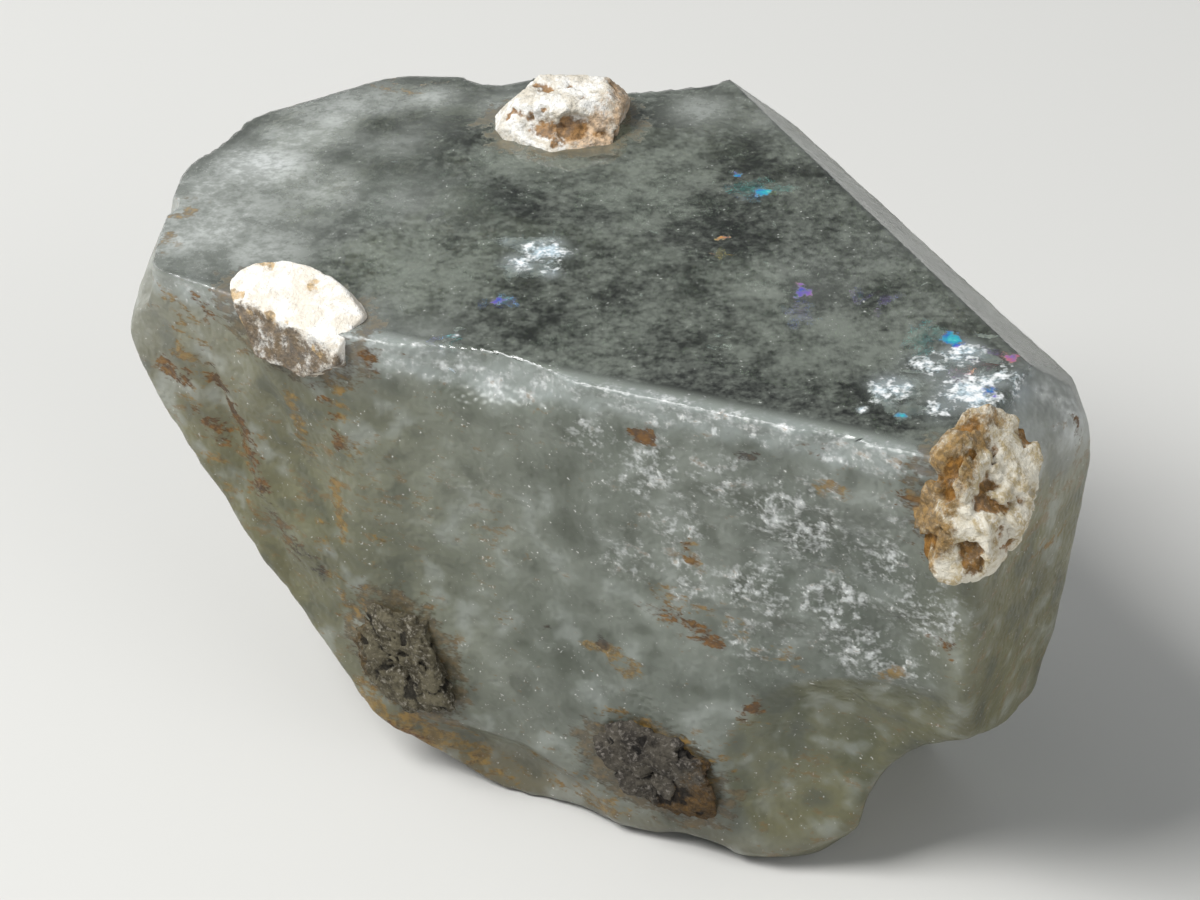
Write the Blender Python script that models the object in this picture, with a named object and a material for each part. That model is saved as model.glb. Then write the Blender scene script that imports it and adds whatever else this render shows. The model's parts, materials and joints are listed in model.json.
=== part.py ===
"""Rough goshenite crystal with five remnants of its host rock, standing on a small flat spot.

Real sizes are in millimetres and turned into metres at the end. The crystal is a set of flat
faces around a point inside it (the heart). Bowls, relief and pockets are then cut into them.
"""
import math

import bmesh
import bpy
import numpy as np
from mathutils import Vector, geometry, noise

MM = 0.001

# Driving dimensions, in millimetres and degrees
HEART = np.array([0.5, -1.0, 13.0])   # inside the crystal, 13 mm above the flat spot
GRAIN = 0.62                          # longest edge of the shaping mesh
CRYSTAL_TRIANGLES = 5900              # light mesh of the crystal before its pockets
LUMP_TRIANGLES = 560                  # light mesh of each remnant
GAP = 0.30                            # air between a remnant and its pocket
EDGE_WEAR = 0.22                      # rounding between the broken faces
FOOT = 0.06                           # depth of the lowest bumps that are ground off flat
SCALLOPS = 130                        # small bowls scattered over the broken faces
SCALLOP_SEED = 7

# Faces of the crystal: bearing of the face (0 is right, -90 is towards the viewer),
# rise (90 is straight up) and reach, the distance from the heart, then height of the relief
FACES = {
    "window": (146.0, 88.0, 11.6, 0.00),
    "back_slope": (118.0, 82.5, 12.8, 0.05),
    "left_end": (175.0, 20.0, 23.2, 0.30),
    "right_bevel": (27.0, 52.5, 16.6, 0.03),
    "corner": (-27.5, 42.5, 23.4, 0.08),
    "front": (-113.0, -1.0, 10.55, 0.20),
    "front_bevel": (-115.0, 45.0, 15.75, 0.12),
    "left_side": (-125.0, -1.0, 12.0, 0.30),
    "right_side": (-33.0, -0.5, 22.7, 0.12),
    "right_heel": (-31.0, -8.0, 22.3, 0.14),
    "front_heel": (-39.0, -39.5, 20.2, 0.30),
    "left_under": (166.0, -28.0, 16.7, 0.36),
    "left_low": (172.0, -39.0, 14.3, 0.34),
    "left_toe": (-176.0, -63.5, 14.1, 0.26),
    "flat_spot": (0.0, -90.0, 13.0, 0.00),
    "front_toe": (-110.0, -55.5, 16.3, 0.20),
    "right_tip": (4.0, 22.0, 21.8, 0.06),
    "toe_tip": (-80.0, -38.0, 19.3, 0.10),
    "back_right": (28.0, -8.0, 13.2, 0.20),
    "back": (79.0, -14.0, 13.5, 0.34),
    "back_left": (122.0, -21.5, 16.4, 0.34),
    "left_back": (156.5, -19.0, 17.3, 0.34),
    "under_right": (60.0, -45.0, 14.5, 0.34),
    "under_back": (105.0, -48.0, 13.0, 0.34),
    "under_left": (150.0, -45.0, 14.7, 0.34),
}
CRISP = ("window", "back_slope", "right_bevel", "front_bevel")

# Bowls broken out of the faces: face, a point of it, half width, half height, depth, turn
BOWLS = {
    "belly": ("front", (12.2, -17.2, 6.6), 7.6, 6.0, 1.5, 11.0),
    "heel_flute": ("front_heel", (14.5, -13.4, 4.3), 13.0, 3.9, 1.75, -50.4),
    "heel_bite": ("front_heel", (14.2, -18.2, 7.2), 3.4, 4.4, 1.3, 0.0),
    "edge_chip": ("front", (-5.4, -10.0, 24.6), 4.6, 2.6, 1.1, 4.0),
    "corner_chip": ("front", (12.8, -17.7, 15.6), 2.6, 2.4, 0.5, 20.0),
    "shell": ("front", (-5.8, -9.8, 15.5), 6.0, 8.5, 0.55, -25.0),
    "hackle": ("front", (10.6, -16.8, 18.6), 5.2, 3.6, 0.50, 6.0),
    "hackle_mid": ("front", (3.6, -13.8, 18.0), 3.4, 3.0, 0.35, -20.0),
    "ledge": ("front", (-4.4, -10.2, 1.9), 5.6, 1.9, 1.0, -14.0),
    "rim_left": ("front_toe", (-2.2, -11.2, 0.6), 2.6, 2.0, 0.6, 0.0),
    "rim_right": ("front_toe", (4.6, -13.6, 0.6), 2.2, 1.6, 0.5, 0.0),
    "notch_left": ("left_end", (-21.0, -0.4, 22.6), 0.9, 1.5, 0.8, 0.0),
    "notch_back": ("left_end", (-20.4, 4.2, 23.6), 0.8, 1.2, 0.5, 0.0),
    "left_dent": ("left_under", (-20.3, -0.8, 17.0), 1.4, 2.6, 0.5, 0.0),
    "left_dent_low": ("left_under", (-17.6, -3.0, 12.4), 1.4, 2.4, 0.4, 0.0),
    "lump_bay": ("back", (1.5, 13.0, 24.0), 4.6, 4.0, 1.8, 0.0),
    "slope_bay": ("back", (-5.2, 15.6, 24.0), 1.6, 2.2, 0.8, 0.0),
    "back_shell": ("back", (2.0, 13.6, 12.5), 8.5, 6.5, 1.4, 15.0),
    "back_shell_low": ("under_back", (0.0, 10.0, 5.2), 6.0, 4.0, 1.0, -10.0),
    "back_left_shell": ("back_left", (-12.0, 11.5, 15.0), 6.0, 6.0, 1.2, -20.0),
    "side_shell": ("back_right", (16.0, 0.0, 11.0), 7.0, 6.5, 0.9, 30.0),
}

# Grooves down the left side: a point, length, half width, depth
GROOVES = (
    ((-17.4, -3.4, 17.6), 6.6, 0.55, 0.45),
    ((-14.4, -5.4, 18.2), 4.4, 0.45, 0.30),
    ((-12.6, -6.6, 14.8), 5.0, 0.40, 0.26),
    ((-15.0, -5.0, 10.6), 4.6, 0.60, 0.40),
)
GROOVE_LEAN = (0.27, -0.18, -0.95)    # direction of the grooves

# Remnants: middle, half sizes, bearing, rise and turn of the outer side, number of seeded chips
REMNANTS = {
    "feldspar_lump_top": ((-1.9, 11.1, 24.4), (3.7, 3.2, 2.4), (-90.0, 90.0, 0.0), 9, 11),
    "feldspar_lump_left": ((-13.4, -5.1, 23.5), (4.1, 2.5, 2.2), (-125.0, 58.0, -6.0), 8, 29),
    "feldspar_lump_right": ((15.6, -18.0, 23.4), (4.1, 2.8, 2.3), (-62.0, 22.0, 54.0), 9, 37),
    "crust_lower_left": ((-8.9, -8.2, 7.0), (3.7, 2.6, 1.1), (-119.0, -2.0, -62.0), 9, 41),
    "crust_lower_middle": ((2.6, -13.0, 4.4), (3.8, 2.4, 1.1), (-113.0, -6.0, -12.0), 9, 53),
}
# Flat sides of the remnants: bearing, rise and distance from the middle
FLAT_SIDES = {
    "feldspar_lump_top": ((-90.0, 84.0, 1.9), (-80.0, 20.0, 2.6)),
    "feldspar_lump_left": ((-118.0, 72.0, 1.3), (-125.0, 5.0, 1.45)),
    "feldspar_lump_right": ((-45.0, 38.0, 1.5), (-105.0, 5.0, 2.3), (-20.0, 5.0, 2.4)),
    "crust_lower_left": ((-119.0, 0.0, 0.75),),
    "crust_lower_middle": ((-113.0, 0.0, 0.75),),
}
# Hollows in the remnants: remnant, middle of the hollow along its own axes, radius (parts of
# the half sizes)
HOLLOWS = (
    ("feldspar_lump_top", (-0.34, -0.80, 0.42), 0.40),
    ("feldspar_lump_top", (0.20, -0.84, 0.38), 0.38),
    ("feldspar_lump_left", (0.55, 0.85, 0.75), 0.42),
    ("feldspar_lump_right", (0.35, 0.15, 0.95), 0.30),
    ("feldspar_lump_right", (-0.10, 0.45, 0.92), 0.28),
    ("feldspar_lump_right", (-0.35, -0.35, 0.95), 0.26),
    ("feldspar_lump_right", (0.10, -0.40, 0.95), 0.24),
    ("crust_lower_middle", (0.15, 0.10, 1.00), 0.40),
    ("crust_lower_left", (-0.10, 0.10, 1.00), 0.40),
)

# Looks: colour, roughness, see-through share
LOOKS = {
    "goshenite_crystal": ((0.19, 0.22, 0.19), 0.22, 0.55),
    "feldspar_lump_top": ((0.72, 0.68, 0.58), 0.85, 0.0),
    "feldspar_lump_left": ((0.80, 0.77, 0.68), 0.80, 0.0),
    "feldspar_lump_right": ((0.42, 0.33, 0.20), 0.85, 0.0),
    "crust_lower_left": ((0.13, 0.10, 0.07), 0.90, 0.0),
    "crust_lower_middle": ((0.075, 0.062, 0.05), 0.90, 0.0),
}


def facing(bearing, rise):
    """Outward direction of a face from its bearing and rise in degrees."""
    b = math.radians(bearing)
    r = math.radians(rise)
    return np.array([math.cos(b) * math.cos(r), math.sin(b) * math.cos(r), math.sin(r)])


def axes(bearing, rise, turn):
    """Rows: along, up the face, outward, with the first two turned about the third."""
    b = math.radians(bearing)
    t = math.radians(turn)
    out = facing(bearing, rise)
    along = np.array([-math.sin(b), math.cos(b), 0.0])
    up = np.cross(out, along)
    first = math.cos(t) * along + math.sin(t) * up
    second = math.cos(t) * up - math.sin(t) * along
    return np.array([first, second, out])


NORMALS = np.array([facing(b, r) for b, r, _, _ in FACES.values()])
REACH = np.array([reach for _, _, reach, _ in FACES.values()])
RELIEF = np.array([relief for _, _, _, relief in FACES.values()])
IS_CRISP = np.array([name in CRISP for name in FACES])


def fractal(points, size, seed, octaves=4):
    """Layered noise of about -1 to 1 whose largest bumps measure the given size."""
    shift = Vector((seed * 3.7, seed * 1.3, seed * 5.1))
    values = [noise.fractal(Vector(p) / size + shift, 0.9, 2.1, octaves) for p in points]
    return np.array(values)


def ridged(points, size, seed):
    """Noise with sharp crests, about 0 to 1."""
    shift = Vector((seed * 2.9, seed * 4.3, seed * 0.7))
    values = [1.0 - 2.0 * abs(noise.noise(Vector(p) / size + shift)) for p in points]
    return np.clip(np.array(values), 0.0, 1.0)


def flat_faced_stone():
    """The crystal as a plain convex body: a block cut down by every face."""
    bm = bmesh.new()
    bmesh.ops.create_cube(bm, size=90.0)
    bmesh.ops.translate(bm, verts=bm.verts, vec=Vector(HEART))
    for normal, reach in zip(NORMALS, REACH):
        geom = bm.verts[:] + bm.edges[:] + bm.faces[:]
        bmesh.ops.bisect_plane(
            bm, geom=geom, dist=1e-5, plane_co=Vector(HEART + normal * reach),
            plane_no=Vector(normal), clear_outer=True)
        rim = [edge for edge in bm.edges if edge.is_boundary]
        bmesh.ops.holes_fill(bm, edges=rim, sides=0)
    bmesh.ops.recalc_face_normals(bm, faces=bm.faces[:])
    bm.verts.index_update()
    bm.verts.ensure_lookup_table()
    return bm


def grid_inside(corners, spacing):
    """Points of a three-way grid inside a flat convex outline, clear of its sides."""
    low = corners.min(axis=0)
    high = corners.max(axis=0)
    row_step = spacing * math.sqrt(0.75)
    rows = int((high[1] - low[1]) / row_step) + 1
    columns = int((high[0] - low[0]) / spacing) + 2
    grid = np.array([
        (low[0] + (column + 0.5 * (row % 2)) * spacing, low[1] + row * row_step)
        for row in range(rows) for column in range(columns)])
    keep = np.ones(len(grid), dtype=bool)
    for start, end in zip(corners, np.roll(corners, -1, axis=0)):
        side = (end - start) / np.linalg.norm(end - start)
        away = side[0] * (grid[:, 1] - start[1]) - side[1] * (grid[:, 0] - start[0])
        keep &= away > 0.55 * spacing
    return grid[keep]


def fine_skin(bm, spacing):
    """Points and triangles that cover the flat-faced stone evenly, with its edges kept."""
    points = [np.array(vert.co[:]) for vert in bm.verts]
    on_edge = {}
    for edge in bm.edges:
        first, last = edge.verts[0].index, edge.verts[1].index
        parts = max(1, round(edge.calc_length() / spacing))
        run = [first]
        for step in range(1, parts):
            run.append(len(points))
            points.append(points[first] + (points[last] - points[first]) * step / parts)
        on_edge[first, last] = run
        on_edge[last, first] = [last] + run[:0:-1]
    triangles = []
    for face in bm.faces:
        out = np.array(face.normal[:])
        first_axis = np.array((face.verts[1].co - face.verts[0].co).normalized()[:])
        flat = np.array([first_axis, np.cross(out, first_axis)])
        middle = np.array(face.calc_center_median()[:])
        corners = [vert.index for vert in face.verts]
        rim = []
        for pair in zip(corners, corners[1:] + corners[:1]):
            rim += on_edge[pair]
        inner = grid_inside((np.array([points[i] for i in corners]) - middle) @ flat.T, spacing)
        outline = (np.array([points[i] for i in rim]) - middle) @ flat.T
        names = rim + list(range(len(points), len(points) + len(inner)))
        points += [middle + spot @ flat for spot in inner]
        spots = [Vector(spot) for spot in outline] + [Vector(spot) for spot in inner]
        made = geometry.delaunay_2d_cdt(spots, [], [list(range(len(rim)))], 1, 1e-6)
        for triangle in made[2]:
            triangles.append([names[made[3][corner][0]] for corner in triangle])
    return np.array(points), triangles


def worn_reach(ways):
    """Distance from the heart to the surface, with the broken faces rounded together."""
    facing_up = ways @ NORMALS.T
    reach = np.where(facing_up > 1e-4, REACH / np.maximum(facing_up, 1e-4), 1e3)
    crisp = reach[:, IS_CRISP].min(axis=1)
    rough = reach[:, ~IS_CRISP]
    least = rough.min(axis=1)
    blend = np.exp(-(rough - least[:, None]) / EDGE_WEAR).sum(axis=1)
    return np.minimum(crisp, least - EDGE_WEAR * np.log(blend))


def cut_by_ball(ways, surface, middle, frame, half, wobble):
    """Surface distance after an egg-shaped ball has been taken out of the crystal."""
    start = (frame @ (HEART - middle)) / half
    step = (ways @ frame.T) / half
    a = (step ** 2).sum(axis=1)
    b = step @ start
    c = start @ start - wobble ** 2
    inside = b * b - a * c
    hit = (inside > 0.0) & (b < 0.0)
    entry = (-b - np.sqrt(np.maximum(inside, 0.0))) / a
    return np.where(hit & (entry < surface), entry, surface)


def bowl_ball(face, point, half_width, half_height, depth, turn):
    """The ball whose cap cuts a bowl of the given rim and depth into a face."""
    bearing, rise, reach, _ = FACES[face]
    frame = axes(bearing, rise, turn)
    out = frame[2]
    onto = np.array(point) - HEART
    foot = HEART + onto + out * (reach - onto @ out)
    thick = 3.0 * depth
    spread = math.sqrt(1.0 - ((thick - depth) / thick) ** 2)
    half = np.array([half_width / spread, half_height / spread, thick])
    return foot + out * (thick - depth), frame, half


def scallops():
    """Seeded small bowls that give the broken faces their shell-like fracture."""
    dice = np.random.default_rng(SCALLOP_SEED)
    names = list(FACES)
    for _ in range(SCALLOPS):
        way = dice.normal(size=3)
        way /= np.linalg.norm(way)
        toward = NORMALS @ way
        reach = np.where(toward > 1e-4, REACH / np.maximum(toward, 1e-4), 1e3)
        face = names[int(reach.argmin())]
        width = dice.uniform(1.6, 4.2)
        height = width * dice.uniform(0.5, 0.9)
        depth = dice.uniform(0.5, 1.5) * FACES[face][3] * width / 4.0
        turn = dice.uniform(-40.0, 40.0)
        if FACES[face][3] > 0.15 and face != "front_toe":
            yield face, tuple(HEART + way * reach.min()), width, height, depth, turn


def groove_depth(points):
    """Depth of the grooves that run down the left side."""
    lean = np.array(GROOVE_LEAN)
    lean = lean / np.linalg.norm(lean)
    depth = np.zeros(len(points))
    for middle, length, half_width, deep in GROOVES:
        away = points - np.array(middle)
        along = away @ lean
        aside = np.linalg.norm(away - np.outer(along, lean), axis=1)
        fade = np.exp(-(2.0 * along / length) ** 4)
        depth += deep * fade * np.exp(-(aside / half_width) ** 2)
    return depth


def relief_height(points, share):
    """Height of the broken relief at each point, and the direction that it moves in."""
    coarse = fractal(points, 5.5, 1)
    fine = fractal(points, 2.2, 2)
    crests = ridged(points, 4.0, 3)
    height = 0.75 * coarse + 0.30 * fine + 0.45 * (crests - 0.5)
    move = (share * RELIEF) @ NORMALS * height[:, None]
    left = share[:, list(FACES).index("left_side")]
    outward = NORMALS[list(FACES).index("left_side")]
    move -= np.outer(left * groove_depth(points), outward)
    return move


def softened(points, triangles, share):
    """Wears the crests of the broken faces down a little and leaves the flat faces alone."""
    corners = np.array(triangles)
    ends = np.vstack((corners[:, [0, 1]], corners[:, [1, 2]], corners[:, [2, 0]]))
    count = np.bincount(ends[:, 0], minlength=len(points))[:, None]
    weight = 0.55 * np.clip(1.0 - 1.4 * share[:, IS_CRISP].sum(axis=1), 0.0, 1.0)[:, None]
    for _ in range(2):
        total = np.zeros_like(points)
        np.add.at(total, ends[:, 0], points[ends[:, 1]])
        points = points + weight * (total / count - points)
    return points


def shaped_points(points, triangles):
    """Moves points of the flat-faced stone onto the worn and broken crystal."""
    away = points - HEART
    plain = np.linalg.norm(away, axis=1)
    ways = away / plain[:, None]
    surface = worn_reach(ways)
    for number, bowl in enumerate(list(BOWLS.values()) + list(scallops())):
        middle, frame, half = bowl_ball(*bowl)
        wobble = 1.0 + 0.10 * fractal(ways * 12.0, 4.5, 20 + number, 2)
        surface = cut_by_ball(ways, surface, middle, frame, half, wobble)
    shaped = HEART + ways * surface[:, None]
    depth = REACH - away @ NORMALS.T
    share = np.exp(-np.maximum(depth, 0.0) / 0.8)
    share /= share.sum(axis=1)[:, None]
    shaped = softened(shaped, triangles, share)
    shaped += relief_height(shaped, share)
    shaped[:, 2] = np.maximum(shaped[:, 2], 0.0)
    return shaped


def mesh_object(name, bm):
    mesh = bpy.data.meshes.new(name)
    bm.to_mesh(mesh)
    bm.free()
    obj = bpy.data.objects.new(name, mesh)
    bpy.context.scene.collection.objects.link(obj)
    return obj


def lightened(obj, triangles):
    """Swaps the mesh for one with about the asked number of triangles."""
    slim = obj.modifiers.new("slim", "DECIMATE")
    slim.ratio = triangles / len(obj.data.polygons)
    graph = bpy.context.evaluated_depsgraph_get()
    mesh = bpy.data.meshes.new_from_object(obj.evaluated_get(graph))
    obj.modifiers.remove(slim)
    heavy = obj.data
    obj.data = mesh
    bpy.data.meshes.remove(heavy)
    mesh.name = obj.name


def crystal():
    bm = flat_faced_stone()
    points, triangles = fine_skin(bm, GRAIN)
    bm.free()
    mesh = bpy.data.meshes.new("goshenite_crystal")
    mesh.from_pydata(shaped_points(points, triangles).tolist(), [], triangles)
    obj = bpy.data.objects.new("goshenite_crystal", mesh)
    bpy.context.scene.collection.objects.link(obj)
    lightened(obj, CRYSTAL_TRIANGLES)
    for vert in obj.data.vertices:
        if vert.co.z < FOOT:
            vert.co.z = 0.0
    return obj


def nugget_size(name, ways, grow):
    """Distance from a remnant's middle to its chipped outside, grown by some millimetres."""
    _, half, aim, chips, seed = REMNANTS[name]
    half = np.array(half)
    frame = axes(*aim)
    size = 1.0 / np.linalg.norm(ways / (half + grow), axis=1)
    dice = np.random.default_rng(seed)
    sides = []
    for _ in range(chips):
        chip = dice.normal(size=3)
        chip /= np.linalg.norm(chip)
        sides.append((chip, dice.uniform(0.70, 0.90) * np.linalg.norm(half * chip)))
    for bearing, rise, away in FLAT_SIDES[name]:
        sides.append((frame @ facing(bearing, rise), away))
    for chip, away in sides:
        size = np.minimum(size, (away + grow) / np.maximum(ways @ chip, 1e-3))
    return size


def nugget(name, detail, grow):
    """Ball of directions around a remnant's middle, and the distance along each."""
    bm = bmesh.new()
    bmesh.ops.create_icosphere(bm, subdivisions=detail, radius=1.0)
    ways = np.array([v.co[:] for v in bm.verts]) * np.array(REMNANTS[name][1])
    ways /= np.linalg.norm(ways, axis=1)[:, None]
    return bm, ways, nugget_size(name, ways, grow)


def nugget_object(name, owner, bm, spots):
    middle, _, aim, _, _ = REMNANTS[owner]
    for vert, spot in zip(bm.verts, np.array(middle) + spots @ axes(*aim)):
        vert.co = Vector(spot)
    return mesh_object(name, bm)


def remnant(name):
    """A chipped nugget that never leaves the form its pocket is cut for."""
    bm, ways, size = nugget(name, 4, 0.0)
    half = np.array(REMNANTS[name][1])
    for owner, spot, radius in HOLLOWS:
        if owner == name:
            spot = np.array(spot)
            step = ways / half
            a = (step ** 2).sum(axis=1)
            b = step @ -spot
            inside = b * b - a * (spot @ spot - radius ** 2)
            entry = (-b - np.sqrt(np.maximum(inside, 0.0))) / a
            size = np.where((inside > 0.0) & (b < 0.0), np.minimum(size, entry), size)
    spots = ways * size[:, None]
    rough = np.clip(fractal(spots, 1.6, REMNANTS[name][4]), -1.0, 1.0)
    spots -= ways * (0.11 + 0.10 * rough)[:, None]
    obj = nugget_object(name, name, bm, spots)
    lightened(obj, LUMP_TRIANGLES)
    return obj


def pocket_cutter(name):
    """The outside of a remnant grown by the gap, to cut its pocket with."""
    bm, ways, size = nugget(name, 3, GAP)
    obj = nugget_object("pocket_of_" + name, name, bm, ways * size[:, None])
    obj.hide_render = True
    obj.display_type = "WIRE"
    return obj


def paint(obj):
    colour, roughness, clear = LOOKS[obj.name]
    mat = bpy.data.materials.new(obj.name)
    mat.use_nodes = True
    shader = mat.node_tree.nodes["Principled BSDF"]
    shader.inputs["Base Color"].default_value = (*colour, 1.0)
    shader.inputs["Roughness"].default_value = roughness
    shader.inputs["Metallic"].default_value = 0.0
    shader.inputs["IOR"].default_value = 1.58
    shader.inputs["Transmission Weight"].default_value = clear
    mat.diffuse_color = (*colour, 1.0)
    obj.data.materials.clear()
    obj.data.materials.append(mat)


def bounds(objects):
    points = np.array([v.co[:] for obj in objects for v in obj.data.vertices])
    return points.min(axis=0), points.max(axis=0)


def build():
    for obj in list(bpy.data.objects):
        bpy.data.objects.remove(obj, do_unlink=True)
    body = crystal()
    pieces = [remnant(name) for name in REMNANTS]
    cutters = [pocket_cutter(name) for name in REMNANTS]
    low, high = bounds([body] + pieces)
    shift = Vector((-(low[0] + high[0]) / 2.0, -(low[1] + high[1]) / 2.0, -low[2]))
    for obj in [body] + pieces + cutters:
        for vert in obj.data.vertices:
            vert.co = (vert.co + shift) * MM
    for cutter in cutters:
        pocket = body.modifiers.new(cutter.name, "BOOLEAN")
        pocket.operation = "DIFFERENCE"
        pocket.solver = "EXACT"
        pocket.object = cutter
    for obj in [body] + pieces:
        paint(obj)


build()
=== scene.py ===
"""Looks of a rough goshenite crystal that keeps five remnants of its host rock.

The crystal is shaped by the same faces and bowls as its solid, on a finer mesh, in millimetres,
and moved onto the frame at the end. Stains, frost and hackle are weights on its points, and the
materials break them up with noise. All colours are everyday values of 0 to 255.
"""
import json
import math

import bmesh
import bpy
import numpy as np
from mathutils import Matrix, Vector, geometry, noise

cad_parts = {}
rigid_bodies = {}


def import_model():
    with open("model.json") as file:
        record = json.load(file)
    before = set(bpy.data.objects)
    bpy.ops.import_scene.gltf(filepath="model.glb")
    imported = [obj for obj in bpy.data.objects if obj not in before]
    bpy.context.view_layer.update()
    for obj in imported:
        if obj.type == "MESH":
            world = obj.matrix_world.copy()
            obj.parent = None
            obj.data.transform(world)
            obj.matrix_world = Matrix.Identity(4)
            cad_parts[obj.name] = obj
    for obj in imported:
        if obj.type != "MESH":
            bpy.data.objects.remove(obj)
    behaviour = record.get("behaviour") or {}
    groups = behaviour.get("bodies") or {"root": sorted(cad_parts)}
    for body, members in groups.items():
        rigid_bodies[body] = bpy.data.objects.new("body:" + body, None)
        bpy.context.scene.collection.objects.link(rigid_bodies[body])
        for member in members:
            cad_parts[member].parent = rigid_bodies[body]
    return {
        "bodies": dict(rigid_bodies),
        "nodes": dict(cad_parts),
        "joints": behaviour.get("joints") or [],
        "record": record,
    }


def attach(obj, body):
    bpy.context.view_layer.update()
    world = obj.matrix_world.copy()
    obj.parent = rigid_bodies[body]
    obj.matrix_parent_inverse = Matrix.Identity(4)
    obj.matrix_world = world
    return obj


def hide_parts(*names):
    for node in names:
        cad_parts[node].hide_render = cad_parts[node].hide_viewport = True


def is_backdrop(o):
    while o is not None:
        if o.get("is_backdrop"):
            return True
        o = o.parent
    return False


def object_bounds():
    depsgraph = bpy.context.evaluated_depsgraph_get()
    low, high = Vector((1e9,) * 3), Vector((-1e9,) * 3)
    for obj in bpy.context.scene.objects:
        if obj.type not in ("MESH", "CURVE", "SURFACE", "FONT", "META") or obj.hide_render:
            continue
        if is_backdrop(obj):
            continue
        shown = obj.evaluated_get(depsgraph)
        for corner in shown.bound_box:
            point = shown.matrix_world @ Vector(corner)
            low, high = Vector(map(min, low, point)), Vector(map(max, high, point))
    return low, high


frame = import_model()
cad_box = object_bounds()

MM = 0.001
ORIGIN = np.array([0.038, 1.439, 0.0])   # where the crystal's own axes start in the frame

# Shape of the crystal, in millimetres and degrees, as in the solid
HEART = np.array([0.5, -1.0, 13.0])
GRAIN = 0.27                             # longest edge of the mesh
EDGE_WEAR = 0.22
FOOT = 0.06                              # depth of the lowest bumps that are ground off flat
FACE_BLEND = 0.8                         # reach of a face's relief and colour past its edges
FROST_BLEND = 0.25                       # the same for its frost
SCALLOPS = 130
SCALLOP_SEED = 7

# Faces: bearing, rise and reach, then height of the relief, frost and warmth of the colour
FACES = {
    "window": (146.0, 88.0, 11.6, 0.00, 0.00, 0.0),
    "back_slope": (118.0, 82.5, 12.8, 0.05, 0.22, 0.1),
    "left_end": (175.0, 20.0, 23.2, 0.30, 0.80, 0.6),
    "right_bevel": (27.0, 52.5, 16.6, 0.03, 0.45, 0.1),
    "corner": (-27.5, 42.5, 23.4, 0.08, 0.55, 0.1),
    "front": (-113.0, -1.0, 10.55, 0.20, 0.85, 0.1),
    "front_bevel": (-115.0, 45.0, 15.75, 0.12, 1.00, 0.0),
    "left_side": (-125.0, -1.0, 12.0, 0.30, 0.85, 1.0),
    "right_side": (-33.0, -0.5, 22.7, 0.12, 0.80, 0.95),
    "right_heel": (-31.0, -8.0, 22.3, 0.14, 0.80, 0.8),
    "front_heel": (-39.0, -39.5, 20.2, 0.30, 0.85, 0.8),
    "left_under": (166.0, -28.0, 16.7, 0.36, 0.80, 1.0),
    "left_low": (172.0, -39.0, 14.3, 0.34, 0.80, 0.8),
    "left_toe": (-176.0, -63.5, 14.1, 0.26, 0.80, 0.8),
    "flat_spot": (0.0, -90.0, 13.0, 0.00, 0.90, 0.4),
    "front_toe": (-110.0, -55.5, 16.3, 0.20, 0.70, 0.6),
    "right_tip": (4.0, 22.0, 21.8, 0.06, 0.60, 0.3),
    "toe_tip": (-80.0, -38.0, 19.3, 0.10, 0.80, 0.7),
    "back_right": (28.0, -8.0, 13.2, 0.20, 0.75, 0.4),
    "back": (79.0, -14.0, 13.5, 0.34, 0.85, 0.4),
    "back_left": (122.0, -21.5, 16.4, 0.34, 0.85, 0.5),
    "left_back": (156.5, -19.0, 17.3, 0.34, 0.85, 0.6),
    "under_right": (60.0, -45.0, 14.5, 0.34, 0.85, 0.5),
    "under_back": (105.0, -48.0, 13.0, 0.34, 0.85, 0.5),
    "under_left": (150.0, -45.0, 14.7, 0.34, 0.85, 0.6),
}
CRISP = ("window", "back_slope", "right_bevel", "front_bevel")

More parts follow.
